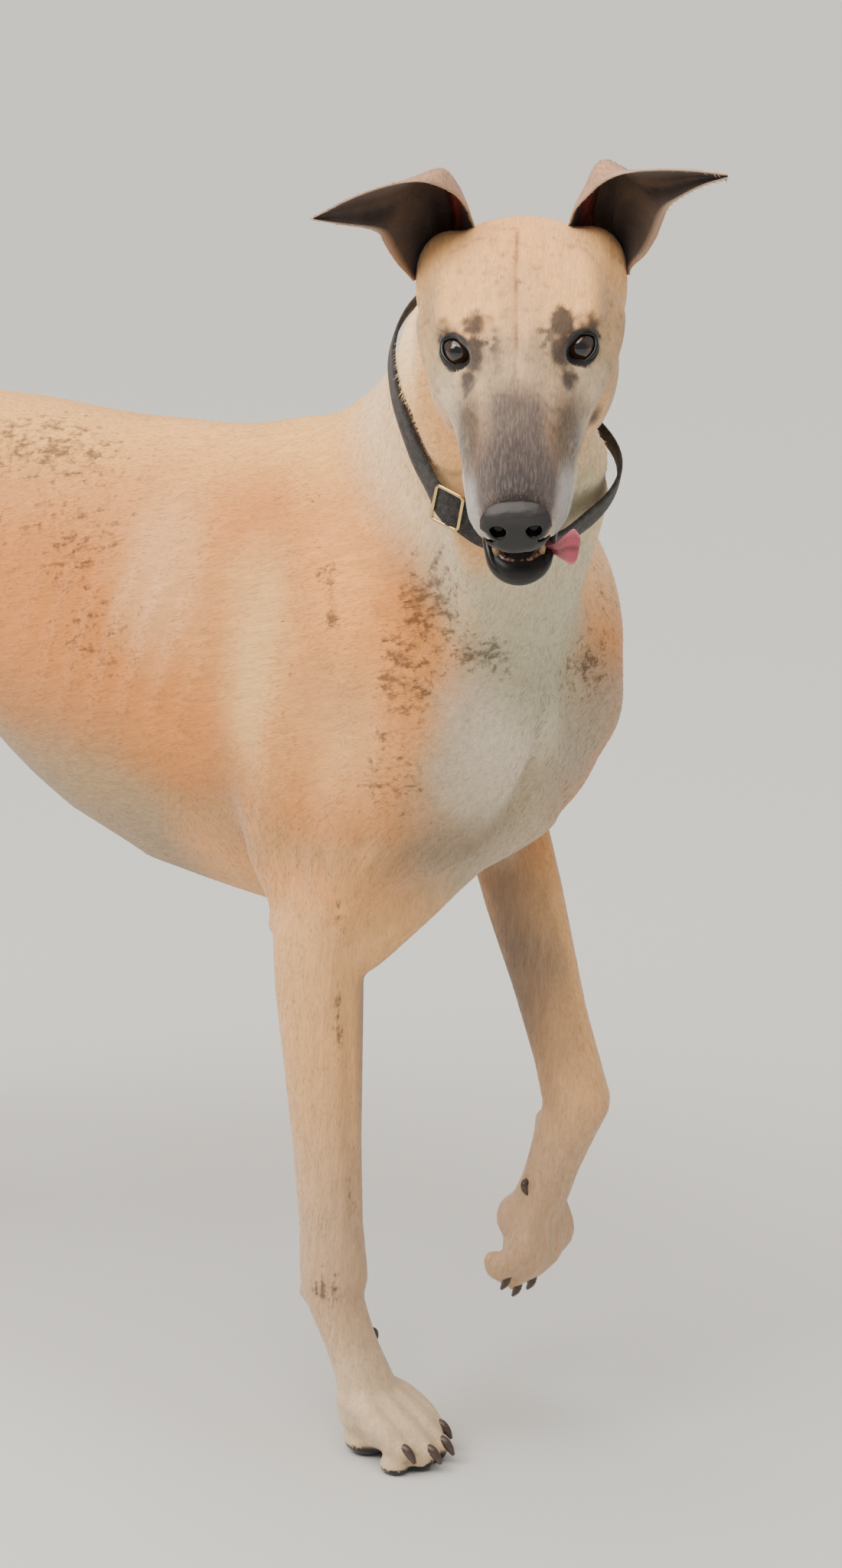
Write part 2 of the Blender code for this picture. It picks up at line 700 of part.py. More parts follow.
def tail_pieces():
    """The long thin tail, hanging behind the hocks with an upward turn at its end."""
    return [tube("tail", [
        (-0.535, 0.000, 0.622, 0.026, 0.024),
        (-0.572, 0.000, 0.590, 0.020, 0.021),
        (-0.604, 0.000, 0.536, 0.0165, 0.0175),
        (-0.624, -0.001, 0.470, 0.0140, 0.0145),
        (-0.640, -0.002, 0.395, 0.0120, 0.0125),
        (-0.656, -0.004, 0.320, 0.0104, 0.0108),
        (-0.682, -0.006, 0.252, 0.0090, 0.0092),
        (-0.724, -0.010, 0.208, 0.0078, 0.0080),
        (-0.772, -0.014, 0.196, 0.0064, 0.0066),
        (-0.812, -0.018, 0.212, 0.0044, 0.0044),
    ], sides=16)]


def lifted_paw_matrix():
    """Frame of the lifted forepaw: its toes hang down and its back faces forward."""
    toes = Vector((0.36, 0.0, -0.93)).normalized()
    back = Vector((0.93, 0.0, 0.36)).normalized()
    across = back.cross(toes)
    turn = Matrix((toes, across, back)).transposed().to_4x4()
    start = Vector(PASTERN_LEFT) - back * 0.030 - toes * 0.004
    return Matrix.Translation(start) @ turn


def foreleg_pieces():
    """The right foreleg bears weight, and the left is raised and bent at the carpus."""
    pieces = shoulder_pieces(-1, SHOULDER_RIGHT, ELBOW_RIGHT, (-0.012, 0.668))
    pieces += shoulder_pieces(1, SHOULDER_LEFT, ELBOW_LEFT, (-0.002, 0.672))
    pieces += forearm_pieces(-1, ELBOW_RIGHT, CARPUS_RIGHT)
    pieces += forearm_pieces(1, ELBOW_LEFT, CARPUS_LEFT)
    pieces += standing_pastern(CARPUS_RIGHT, FOREPAW_RIGHT)
    pieces += paw_pieces(FOREPAW_RIGHT, FOREPAW_HEADING)
    c = Vector(CARPUS_LEFT)
    p = Vector(PASTERN_LEFT)
    pieces.append(tube("bent_pastern", [
        (*(c + Vector((0.002, 0, 0.004))), 0.0205, 0.0225),
        (*(c + Vector((-0.010, 0, -0.022))), 0.0200, 0.0205),
        (*c.lerp(p, 0.62), 0.0190, 0.0175),
        (*p, 0.0215, 0.0170),
    ], front=(1, 0, 0.2)))
    pieces.append(mass("bent_carpal_pad", c + Vector((-0.030, 0.002, -0.020)),
                       (0.0075, 0.0075, 0.0090)))
    pieces += paw_pieces(None, matrix=lifted_paw_matrix(), curl=62.0, pad=(0.0160, 0.0100))
    return pieces


def head_loft():
    """Skull and muzzle in one long tapering loft, in the head's frame."""
    return loft("skull", [
        (-0.0035, -0.0110, -0.0205, -0.0300, 0.0120, 0.75, 0.9),
        (-0.0070, -0.0060, -0.0215, -0.0345, 0.0172, 0.75, 0.85),
        (-0.0150, -0.0030, -0.0225, -0.0370, 0.0195, 0.8, 0.8),
        (-0.0300, -0.0020, -0.0260, -0.0405, 0.0238, 0.95, 0.7),
        (-0.0500, -0.0010, -0.0285, -0.0430, 0.0280, 1.0, 0.7),
        (-0.0700, 0.0000, -0.0290, -0.0450, 0.0300, 1.0, 0.7),
        (-0.0930, 0.0020, -0.0290, -0.0480, 0.0340, 1.0, 0.8),
        (-0.1150, 0.0050, -0.0280, -0.0580, 0.0380, 0.95, 0.9),
        (-0.1350, 0.0105, -0.0230, -0.0680, 0.0425, 0.85, 1.0),
        (-0.1550, 0.0165, -0.0170, -0.0760, 0.0470, 0.85, 1.0),
        (-0.1780, 0.0225, -0.0120, -0.0840, 0.0515, 0.85, 1.0),
        (-0.2000, 0.0262, -0.0100, -0.0860, 0.0530, 0.75, 1.0),
        (-0.2220, 0.0268, -0.0100, -0.0820, 0.0505, 0.70, 1.0),
        (-0.2430, 0.0230, -0.0100, -0.0700, 0.0430, 0.75, 1.0),
        (-0.2600, 0.0110, -0.0120, -0.0480, 0.0260, 1.0, 1.0),
    ], sides=48, steps=4)


def jaw_loft():
    """Lower jaw, dropped a little at the front."""
    return loft("jaw", [
        (-0.0125, -0.0570, -0.0605, -0.0640, 0.0075, 0.9, 0.9),
        (-0.0165, -0.0540, -0.0600, -0.0678, 0.0130, 0.8, 0.9),
        (-0.0280, -0.0525, -0.0595, -0.0705, 0.0170, 0.7, 0.9),
        (-0.0500, -0.0490, -0.0580, -0.0720, 0.0200, 0.7, 0.9),
        (-0.0750, -0.0455, -0.0560, -0.0740, 0.0240, 0.7, 0.9),
        (-0.1000, -0.0400, -0.0540, -0.0785, 0.0290, 0.8, 0.9),
        (-0.1300, -0.0300, -0.0500, -0.0845, 0.0350, 0.9, 0.9),
        (-0.1650, -0.0200, -0.0450, -0.0935, 0.0400, 0.9, 0.9),
        (-0.2000, -0.0200, -0.0450, -0.0960, 0.0380, 1.0, 1.0),
        (-0.2250, -0.0300, -0.0500, -0.0880, 0.0280, 1.0, 1.0),
    ], sides=32, steps=4)


def eye_matrix(side):
    """Frame of an eye in the head's frame: +X looks out, +Z up the lids' short way."""
    x, y, z = EYE_PLACE
    turn = (Matrix.Rotation(math.radians(side * EYE_GAZE_OUT), 4, "Z")
            @ Matrix.Rotation(math.radians(-EYE_GAZE_UP), 4, "Y")
            @ Matrix.Rotation(math.radians(side * LID_TILT), 4, "X"))
    return Matrix.Translation((x, side * y, z)) @ turn


def lid_outline(side, steps=7):
    """The almond opening between the lids, in the eye's frame, as pairs across and up.

    It runs from the inner corner over the top to the outer corner and back under the ball.
    """
    inner, outer, top, bottom = LID_OPENING
    outline = []
    for height, turns in ((top, range(0, steps)), (-bottom, range(steps, 0, -1))):
        for step in turns:
            t = step / steps
            across = -inner + (inner + outer) * (1 - math.cos(math.pi * t)) / 2
            outline.append((side * across, height * math.sin(math.pi * t) ** 0.85))
    return outline


def lid_rims(side):
    """The raised edges of both lids, lying on the ball."""
    reach = EYE_RADIUS + LID_THICKNESS * 0.7
    outline = lid_outline(side)
    half = len(outline) // 2
    rims = []
    for rim in (outline[:half + 1], outline[half:] + outline[:1]):
        rows = []
        for across, up in rim:
            depth = math.sqrt(max(reach ** 2 - across ** 2 - up ** 2, 0))
            rows.append((depth, across * 1.02, up * 1.06, 0.0011, 0.0011))
        rims.append(moved(tube("lid", rows, front=(1, 0, 0.2), sides=10, steps=2), eye_matrix(side)))
    return rims


def head_pieces():
    """The masses of the head besides the skull loft, in the head's frame."""
    pieces = [head_loft(), jaw_loft()]
    for side in (-1, 1):
        pieces.append(tube("cheek_arch", [
            (-0.118, side * 0.033, -0.024, 0.008, 0.008),
            (-0.140, side * 0.0405, -0.023, 0.009, 0.008),
            (-0.165, side * 0.0470, -0.018, 0.009, 0.008),
            (-0.192, side * 0.0510, -0.011, 0.009, 0.009),
        ], front=(0, 0, 1)))
        pieces.append(mass("cheek", (-0.184, side * 0.036, -0.044), (0.040, 0.0165, 0.036)))
        pieces.append(tube("brow", [
            (-0.130, side * 0.018, -0.0010, 0.008, 0.007),
            (-0.149, side * 0.029, 0.0035, 0.010, 0.008),
            (-0.170, side * 0.040, 0.0030, 0.010, 0.008),
        ], front=(0, 0, 1)))
        pieces.append(moved(mass("lid_ball", (0, 0, 0), (EYE_RADIUS + LID_THICKNESS,) * 3),
                            eye_matrix(side)))
        pieces.append(mass("temple", (-0.196, side * 0.034, 0.003), (0.034, 0.0165, 0.018)))
        pieces.append(mass("ear_root", (-0.236, side * 0.036, -0.004), (0.018, 0.014, 0.018)))
        pieces.append(tube("lip", [
            (-0.020, side * 0.0170, -0.0345, 0.0045, 0.0050),
            (-0.040, side * 0.0235, -0.0385, 0.0045, 0.0055),
            (-0.062, side * 0.0262, -0.0405, 0.0045, 0.0055),
            (-0.084, side * 0.0290, -0.0420, 0.0045, 0.0050),
        ], front=(0, 0, 1), sides=12))
        pieces.append(tube("lower_lip", [
            (-0.0175, side * 0.0070, -0.0570, 0.0030, 0.0034),
            (-0.0260, side * 0.0140, -0.0550, 0.0030, 0.0036),
            (-0.0480, side * 0.0185, -0.0520, 0.0030, 0.0036),
            (-0.0720, side * 0.0230, -0.0490, 0.0030, 0.0034),
        ], front=(0, 0, 1), sides=10))
    pieces.append(mass("occiput", (-0.252, 0, 0.006), (0.014, 0.014, 0.010)))
    return pieces


def eye_openings():
    """Cutters that open the lids in front of both balls."""
    openings = []
    for side in (-1, 1):
        outline = [(0.002, across, up) for across, up in lid_outline(side)]
        openings.append(moved(prism("eye_opening", outline, (0.04, 0, 0)), eye_matrix(side)))
    return openings


def mouth_cutter():
    """The open space between the lips, closing toward the corners of the mouth."""
    outline = [
        (0.010, -0.04, -0.0395),
        (-0.020, -0.04, -0.0415),
        (-0.050, -0.04, -0.0440),
        (-0.088, -0.04, -0.0464),
        (-0.088, -0.04, -0.0470),
        (-0.050, -0.04, -0.0495),
        (-0.020, -0.04, -0.0535),
        (0.010, -0.04, -0.0560),
    ]
    return prism("mouth", outline, (0, 0.08, 0))


def ear_solid(name, side, medial, back, lateral):
    """An ear: a thin cupped sheet between its two rims, folded out sideways at the tip.

    Each row of the sheet arches from the inner rim through the back to the outer rim.
    """
    inner = smooth_rows([(x, side * y, z) for x, y, z in medial], 3)
    middle = smooth_rows([(x, side * y, z) for x, y, z in back], 3)
    outer = smooth_rows([(x, side * y, z) for x, y, z in lateral], 3)
    across = 9
    grid = []
    for a, b, c in zip(inner, middle, outer):
        pull = 2 * b - (a + c) / 2
        grid.append([a * (1 - t) ** 2 + pull * 2 * t * (1 - t) + c * t ** 2
                     for t in np.linspace(0, 1, across + 1)])
    grid = np.array(grid)
    normal = np.cross(np.gradient(grid, axis=0), np.gradient(grid, axis=1))
    normal /= np.linalg.norm(normal, axis=2)[:, :, None]
    cup = grid.mean(axis=(0, 1)) - middle.mean(axis=0)
    if np.dot(normal.mean(axis=(0, 1)), cup) > 0:
        normal = -normal
    edge = np.sin(np.linspace(0, math.pi, across + 1)) ** 0.5
    rows = len(grid)
    tip = np.clip((rows - 1 - np.arange(rows)) / 6, 0, 1) ** 0.5
    thick = 0.0011 + 0.0016 * edge[None, :] * tip[:, None]
    near = grid
    far = grid + normal * thick[:, :, None]
    points = np.concatenate([near.reshape(-1, 3), far.reshape(-1, 3)])
    width = across + 1
    shift = rows * width
    faces = []
    for row in range(rows - 1):
        for column in range(across):
            a = row * width + column
            faces.append((a, a + 1, a + width + 1, a + width))
            faces.append((shift + a, shift + a + width, shift + a + width + 1, shift + a + 1))
    for row in range(rows - 1):
        for a in (row * width, row * width + across):
            faces.append((a, a + width, shift + a + width, shift + a))
    for column in range(across):
        for a in (column, (rows - 1) * width + column):
            faces.append((a, shift + a, shift + a + 1, a + 1))
    return mesh_object(name, points, faces)


def ears():
    """Both ears, the right one lower and drooping at the tip, in the head's frame."""
    right = ear_solid("ear_right", -1, [
        (-0.238, 0.020, 0.004),
        (-0.233, 0.028, 0.030),
        (-0.226, 0.0345, 0.0535),
        (-0.219, 0.048, 0.0635),
        (-0.212, 0.0625, 0.0685),
        (-0.208, 0.0800, 0.0650),
        (-0.206, 0.0985, 0.0590),
        (-0.205, 0.1152, 0.0520),
    ], [
        (-0.256, 0.042, -0.012),
        (-0.260, 0.050, 0.014),
        (-0.258, 0.054, 0.040),
        (-0.246, 0.056, 0.056),
        (-0.229, 0.068, 0.0600),
        (-0.219, 0.0815, 0.0575),
        (-0.212, 0.0965, 0.0540),
        (-0.206, 0.1150, 0.0495),
    ], [
        (-0.214, 0.052, -0.014),
        (-0.209, 0.0640, 0.010),
        (-0.208, 0.0735, 0.024),
        (-0.207, 0.0785, 0.036),
        (-0.206, 0.0830, 0.0400),
        (-0.206, 0.0890, 0.0435),
        (-0.205, 0.1010, 0.0470),
        (-0.205, 0.1145, 0.0480),
    ])
    left = ear_solid("ear_left", 1, [
        (-0.238, 0.022, 0.004),
        (-0.231, 0.030, 0.030),
        (-0.224, 0.0405, 0.0550),
        (-0.216, 0.0600, 0.0690),
        (-0.211, 0.0741, 0.0720),
        (-0.208, 0.0900, 0.0700),
        (-0.206, 0.1050, 0.0700),
        (-0.205, 0.1195, 0.0695),
    ], [
        (-0.256, 0.044, -0.012),
        (-0.260, 0.052, 0.014),
        (-0.257, 0.058, 0.042),
        (-0.243, 0.063, 0.0600),
        (-0.227, 0.077, 0.0650),
        (-0.218, 0.0905, 0.0630),
        (-0.211, 0.1045, 0.0640),
        (-0.206, 0.1192, 0.0665),
    ], [
        (-0.212, 0.054, -0.014),
        (-0.207, 0.0667, 0.012),
        (-0.206, 0.0785, 0.028),
        (-0.206, 0.0835, 0.042),
        (-0.206, 0.0870, 0.0495),
        (-0.205, 0.0920, 0.0535),
        (-0.205, 0.1040, 0.0590),
        (-0.205, 0.1190, 0.0650),
    ])
    return right, left


def tongue_solid():
    """The tongue, out between the lips on the left side and turned up at its end."""
    return tube("tongue", [
        (-0.070, 0.006, -0.0478, 0.0120, 0.0011),
        (-0.052, 0.010, -0.0480, 0.0125, 0.0014),
        (-0.038, 0.017, -0.0484, 0.0115, 0.0020),
        (-0.030, 0.0255, -0.0490, 0.0105, 0.0024),
        (-0.026, 0.0305, -0.0460, 0.0095, 0.0024),
        (-0.024, 0.0325, -0.0400, 0.0075, 0.0022),
    ], front=(-0.25, -0.30, 1), sides=10, steps=2)


def build_head():
    """Fuse the head, open the eyes and the mouth, and keep it fine."""
    flesh = remesh(joined("head_flesh", head_pieces()), HEAD_VOXEL)
    soften(flesh, 10)
    soften(flesh, 90, [((-0.190, 0.0, 0.012), (0.085, 0.080, 0.042))])
    soften(flesh, 70, [((-0.205, side * 0.056, -0.050), (0.062, 0.026, 0.052)) for side in (-1, 1)])
    boolean(flesh, eye_openings() + [mouth_cutter()])
    flesh = remesh(joined("head_flesh", [flesh] + lid_rims(-1) + lid_rims(1)), HEAD_VOXEL * 0.85)
    soften(flesh, 3)
    collar_side = tube("upper_neck", [
        (-0.205, 0.0, -0.040, 0.044, 0.042),
        (-0.230, 0.0, -0.050, 0.047, 0.051),
        (-0.262, 0.0, -0.066, 0.053, 0.058),
    ], front=(0, 0, 1), sides=28)
    flesh = joined("head_flesh", [flesh, collar_side])
    remesh(flesh, HEAD_VOXEL)
    soften(flesh, 26, [((-0.238, 0.0, -0.046), (0.040, 0.075, 0.085))])
    coarsen(flesh, HEAD_TRIANGLES)
    return flesh


def build_body():
    """Fuse trunk, neck, legs and tail, soften where limbs join, and keep it coarse."""
    pieces = trunk_pieces() + neck_pieces() + foreleg_pieces() + tail_pieces()
    pieces += hindleg_pieces(-1, STIFLE_RIGHT, HOCK_RIGHT, HINDPAW_RIGHT, -5)
    pieces += hindleg_pieces(1, STIFLE_LEFT, HOCK_LEFT, HINDPAW_LEFT, 7)
    body = remesh(joined("body", pieces), BODY_VOXEL)
    soften(body, 9)
    soften(body, 220, [
        ((0.07, 0.0, 0.60), (0.17, 0.17, 0.16)),
        ((0.00, 0.0, 0.50), (0.20, 0.17, 0.16)),
        ((-0.20, 0.0, 0.53), (0.30, 0.17, 0.22)),
        ((-0.46, 0.0, 0.55), (0.17, 0.17, 0.14)),
    ])
    paws = [Vector(paw) + Vector((0.028, 0, 0.020))
            for paw in (FOREPAW_RIGHT, HINDPAW_RIGHT, HINDPAW_LEFT)]
    paws.append(Vector(PASTERN_LEFT) + Vector((0, 0, -0.026)))
    points = np.array([vertex.co for vertex in body.data.vertices])
    near = np.min([np.linalg.norm(points - np.array(paw), axis=1) for paw in paws], axis=0)
    paw_share = 2 * int((near < PAW_REACH).sum())
    coarsen(body, triangle_count(body) - paw_share + PAW_TRIANGLES, paws, PAW_REACH, True)
    coarsen(body, BODY_TRIANGLES, paws, PAW_REACH, False)
    floor = slab("floor", (0, 0, -0.05), (0, 0, 1), 0.1, 1.5)
    return boolean(body, [floor])


def leg_walls():
    """Thin walls round the four legs."""
    walls = []
    for side in (-1, 1):
        shift = 0.0 if side < 0 else 0.014
        outline = [
            (-0.086 + shift, 0.640), (-0.050 + shift, 0.672), (0.004 + shift, 0.684),
            (0.048 + shift, 0.664), (0.100 + shift, 0.585), (0.190, 0.500), (0.190, -0.02),
            (-0.120, -0.02), (-0.120, 0.375), (-0.092, 0.440), (-0.096, 0.540),
        ]
        upper = prism("shoulder_cut", [(x, side * 0.052, z) for x, z in outline],
                      (0, side * 0.12, 0))
        inner = 0.020 if side < 0 else 0.026
        outline = [(-0.130, 0.344), (0.200, 0.344), (0.200, -0.03), (-0.130, -0.03)]
        lower = prism("forearm_cut", [(x, inner, z) for x, z in outline], (0, side * 0.19, 0))
        walls.append(wall(boolean(upper, [lower], "UNION")))
        shift = 0.0 if side < 0 else -0.016
        outline = [
            (-0.376, 0.510), (-0.400, 0.580), (-0.432, 0.632), (-0.480, 0.652),
            (-0.540, 0.622), (-0.590, 0.560), (-0.790, 0.400), (-0.790, -0.020),
            (-0.340, -0.020), (-0.340, 0.430),
        ]
        walls.append(wall(prism("hip_cut", [(x + shift, side * 0.024, z) for x, z in outline],
                                (0, side * 0.16, 0))))
    return walls


def ball(name, radius, matrix):
    """A closed ball of quads."""
    shape = bmesh.new()
    bmesh.ops.create_uvsphere(shape, u_segments=18, v_segments=11, radius=radius)
    bmesh.ops.transform(shape, matrix=matrix, verts=shape.verts)
    mesh = bpy.data.meshes.new(name)
    shape.to_mesh(mesh)
    shape.free()
    item = bpy.data.objects.new(name, mesh)
    bpy.context.collection.objects.link(item)
    return item


def part_head(flesh):
    """Part the head into skull with muzzle, jaw and nose, and set the eyes in their sockets."""
    sockets = []
    eyes = {}
    for name, side in (("eye_right", -1), ("eye_left", 1)):
        sockets.append(ball("socket", EYE_RADIUS + GAP, eye_matrix(side)))
        eyes[name] = ball(name, EYE_RADIUS, eye_matrix(side))
    jaw_wall = wall(prism("jaw_cut", [
        (0.030, -0.05, -0.0478),
        (-0.086, -0.05, -0.0467),
        (-0.118, -0.05, -0.0600),
        (-0.150, -0.05, -0.1200),
        (0.030, -0.05, -0.1200),
    ], (0, 0.10, 0)))
    nose_wall = slab("nose_cut", (-0.009, 0, -0.020), (0.97, 0, 0.2425), GAP, 0.030)
    neck_wall = slab("neck_cut", NECK_CUT_PLACE, NECK_CUT_ALONG, GAP, 0.12)
    boolean(flesh, sockets + [jaw_wall, nose_wall, neck_wall])
    nodes = part_nodes(flesh, {
        "head": (-0.160, 0, -0.020),
        "jaw": (-0.070, 0, -0.065),
        "nose": (-0.002, 0, -0.020),
    })
    nostrils = []
    for side in (-1, 1):
        nostrils.append(mass("nostril", (-0.0035, side * 0.0086, -0.0200),
                             (0.0060, 0.0042, 0.0036), (side * 25, 0, 0), 2))
        nostrils.append(mass("nostril_slit", (-0.0060, side * 0.0138, -0.0236),
                             (0.0060, 0.0050, 0.0015), (side * 30, 0, 0), 2))
    boolean(nodes["nose"], nostrils)
    nodes["nose"] = largest(nodes["nose"])
    nodes.update(eyes)
    return nodes


def part_body(body):
    """Part the body into trunk, neck, legs and tail."""
    matrix = head_matrix()
    along = matrix.to_3x3() @ Vector(NECK_CUT_ALONG)
    walls = leg_walls()
    walls.append(slab("head_cut", matrix @ Vector(NECK_CUT_PLACE), along, GAP, 0.17))
    walls.append(slab("neck_base_cut", (0.088, -0.018, 0.642), (0.77, -0.17, 0.61), GAP, 0.18))
    walls.append(slab("tail_cut", (-0.607, 0, 0.528), (0.30, 0, 0.95), GAP, 0.026))
    boolean(body, walls)
    return part_nodes(body, {
        "torso": (-0.200, 0, 0.540),
        "neck": (0.130, -0.050, 0.700),
        "foreleg_right": (0.020, -0.070, 0.250),
        "foreleg_left": (0.060, 0.080, 0.350),
        "hindleg_right": (-0.520, -0.080, 0.300),
        "hindleg_left": (-0.570, 0.085, 0.300),
        "tail": (-0.680, 0, 0.300),
    })


def part_ears(nodes, neck):
    """Set the ears on the head, with one gap to the head and the neck."""
    for name, ear in zip(("ear_right", "ear_left"), ears()):
        moved(ear, head_matrix())
        boolean(ear, [swollen(nodes["head"], GAP), swollen(neck, GAP)], solver="MANIFOLD")
        nodes[name] = largest(ear)


def part_tongue(nodes):
    """Lay the tongue in the mouth, one gap clear of the lips."""
    tongue = moved(tongue_solid(), head_matrix())
    around = [swollen(nodes["head"], GAP), swollen(nodes["jaw"], GAP)]
    boolean(tongue, around, solver="MANIFOLD")
    nodes["tongue"] = largest(tongue)


def band_points(neck, toward, stand_off):
    """A function that places points on the collar: along the strap, across it and outward.

    A place is read from the neck's reach at five near spots, so that no facet stands through.
    """
    along = Vector(COLLAR_ALONG).normalized()
    out = (Vector(toward) - Vector(toward).dot(along) * along).normalized()
    bpy.context.view_layer.update()

    def reach(angle, across):
        start = Vector(COLLAR_PLACE) + along * across
        heading = Matrix.Rotation(angle, 3, along) @ out
        hit, place, _, _ = neck.ray_cast(start, heading)
        return (place - start).length if hit else 0.0

    radius = reach(0.0, 0.0)

    def place(run, across, outward):
        angle = run / radius
        near = max(reach(angle + turn / radius, across + shift)
                   for turn, shift in ((0, 0), (0.003, 0), (-0.003, 0), (0, 0.003), (0, -0.003)))
        heading = Matrix.Rotation(angle, 3, along) @ out
        return Vector(COLLAR_PLACE) + along * across + heading * (near + stand_off + outward)

    return place


def flat_on_band(place, length, width):
    """A function that places points on a flat plate laid on the collar, clear of its bulge."""
    run = (place(length / 2, 0, 0) - place(-length / 2, 0, 0)).normalized()
    across = place(0, width / 2, 0) - place(0, -width / 2, 0)
    across = (across - across.dot(run) * run).normalized()
    out = run.cross(across)
    start = place(0, 0, 0)
    if out.dot(start - Vector(COLLAR_PLACE)) < 0:
        out = -out
    spots = [place(x * length / 4, y * width / 4, 0) for x in range(-2, 3) for y in range(-2, 3)]
    lift = max((spot - start).dot(out) for spot in spots)
    return lambda x, y, outward: start + run * x + across * y + out * (lift + outward)


def slide_solid(neck):
    """A flat rectangular frame with round corners, lying on the strap."""
    length, width, thickness = SLIDE_SIZE
    band = band_points(neck, SLIDE_TOWARD, STRAP_THICKNESS + HARDWARE_GAP)
    place = flat_on_band(band, length, width)
    corner = 0.003
    rings = []
    for turn in range(4):
        sign_x, sign_y = ((1, 1), (-1, 1), (-1, -1), (1, -1))[turn]
        for step in range(4):
            angle = math.radians(90 * turn + 30 * step)
            ring = []
            for inward, outward in ((0, 0), (0, thickness), (SLIDE_BAR, thickness), (SLIDE_BAR, 0)):
                reach = corner - inward
                ring.append(place(sign_x * (length / 2 - corner) + reach * math.cos(angle),
                                  sign_y * (width / 2 - corner) + reach * math.sin(angle),
                                  outward))
            rings.append(ring)
    count = len(rings)
    faces = []
    for row in range(count):
        near = row * 4
        far = (row + 1) % count * 4
        for side in range(4):
            turn = (side + 1) % 4
            faces.append((near + side, near + turn, far + turn, far + side))
    return mesh_object("collar_slide", [point for ring in rings for point in ring], faces)


def buckle_solid(neck):
    """A moulded block with chamfered edges and a waist, bent to lie on the strap."""
    length, width, thickness = BUCKLE_SIZE
    place = band_points(neck, BUCKLE_TOWARD, STRAP_THICKNESS + HARDWARE_GAP)
    rings = []
    for share, breadth, height in ((-1.0, 0.74, 0.45), (-0.92, 0.92, 0.85), (-0.55, 1.0, 1.0),
                                   (-0.08, 1.0, 1.0), (0.08, 0.88, 0.92), (0.45, 0.88, 0.92),
                                   (0.88, 0.80, 0.80), (1.0, 0.62, 0.45)):
        half = width / 2 * breadth
        tall = thickness * height
        edge = 0.0016
        section = ((-half, 0), (half, 0), (half, tall - edge), (half - edge, tall),
                   (-half + edge, tall), (-half, tall - edge))
        rings.append([place(share * length / 2, across, outward) for across, outward in section])
    return skin_rings("collar_buckle", rings)


def collar_nodes(neck):
    """The strap, its sliding adjuster at the throat's right and the buckle at the left."""
    strap_cut = slab("strap_cut", COLLAR_PLACE, COLLAR_ALONG, STRAP_WIDTH)
    strap = boolean(swollen(neck, GAP + STRAP_THICKNESS, "collar_strap"), [strap_cut],
                    "INTERSECT", "MANIFOLD")
    boolean(strap, [swollen(neck, GAP)], solver="MANIFOLD")
    return {"collar_strap": largest(strap), "collar_slide": slide_solid(neck),
            "collar_buckle": buckle_solid(neck)}


def finish(item, colour, roughness, metallic=0.0):
    """Give an object its own Principled material and smooth shading."""
    material = bpy.data.materials.new(item.name + "_finish")
    material.use_nodes = True
    shader = material.node_tree.nodes["Principled BSDF"]
    shader.inputs["Base Color"].default_value = (*colour, 1)
    shader.inputs["Roughness"].default_value = roughness
    shader.inputs["Metallic"].default_value = metallic
    item.data.materials.clear()
    item.data.materials.append(material)
    item.data.shade_smooth()
    item.data.set_sharp_from_angle(angle=math.radians(50))


def centre_on_floor(items):
    """Shift the whole animal so that its box stands centred on the origin."""
    points = np.array([vertex.co for item in items for vertex in item.data.vertices])
    low = points.min(axis=0)
    high = points.max(axis=0)
    shift = Vector((-(low[0] + high[0]) / 2, -(low[1] + high[1]) / 2, -low[2]))
    for item in items:
        item.data.transform(Matrix.Translation(shift))


def build_all():
    """Model the animal and its collar and part them into nodes."""
    clear_scene()
    nodes = part_head(build_head())
    for item in nodes.values():
        moved(item, head_matrix())
    nodes.update(part_body(build_body()))
    part_ears(nodes, nodes["neck"])
    part_tongue(nodes)
    nodes.update(collar_nodes(nodes["neck"]))
    for name, item in nodes.items():
        finish(item, *FINISHES[name])
    centre_on_floor(list(nodes.values()))


build_all()
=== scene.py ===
import math

import bmesh
import bpy
import numpy as np
from mathutils import Euler, Matrix, Vector
from mathutils.kdtree import KDTree


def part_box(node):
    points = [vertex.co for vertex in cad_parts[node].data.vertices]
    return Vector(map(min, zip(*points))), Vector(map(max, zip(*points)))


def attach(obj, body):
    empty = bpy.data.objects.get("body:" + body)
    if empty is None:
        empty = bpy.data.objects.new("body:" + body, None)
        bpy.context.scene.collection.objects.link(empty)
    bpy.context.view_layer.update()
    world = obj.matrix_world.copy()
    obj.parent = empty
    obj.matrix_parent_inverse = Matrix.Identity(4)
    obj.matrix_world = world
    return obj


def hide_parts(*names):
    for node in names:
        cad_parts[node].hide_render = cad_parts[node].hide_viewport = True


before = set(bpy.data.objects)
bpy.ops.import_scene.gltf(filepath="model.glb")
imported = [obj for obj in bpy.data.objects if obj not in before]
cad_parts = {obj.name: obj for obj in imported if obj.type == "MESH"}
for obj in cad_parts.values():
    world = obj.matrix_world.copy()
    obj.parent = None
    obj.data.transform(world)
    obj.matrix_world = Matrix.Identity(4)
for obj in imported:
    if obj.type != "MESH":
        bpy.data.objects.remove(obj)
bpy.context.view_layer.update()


# The animal stands on the floor and faces +X, with its left side to +Y. Its own measures start
# under the withers, and the head has a frame of its own over the nose tip, +X to the nose and
# +Y to the left ear. The right eye of the solids says where both frames lie.

EYE_PLACE = (-0.1535, 0.0325, -0.0080)
EYE_RADIUS = 0.0110
NOSE_TIP = (0.3325, -0.2757, 0.7084)
HEAD_ROLL, HEAD_PITCH, HEAD_TURN = math.radians(2.6), math.radians(28.0), math.radians(-52.5)
head_frame = (Matrix.Translation(NOSE_TIP)
              @ Euler((HEAD_ROLL, HEAD_PITCH, HEAD_TURN)).to_matrix().to_4x4())


def middle_of(node):
    """Middle of the box round a solid."""
    low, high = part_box(node)
    return (low + high) / 2


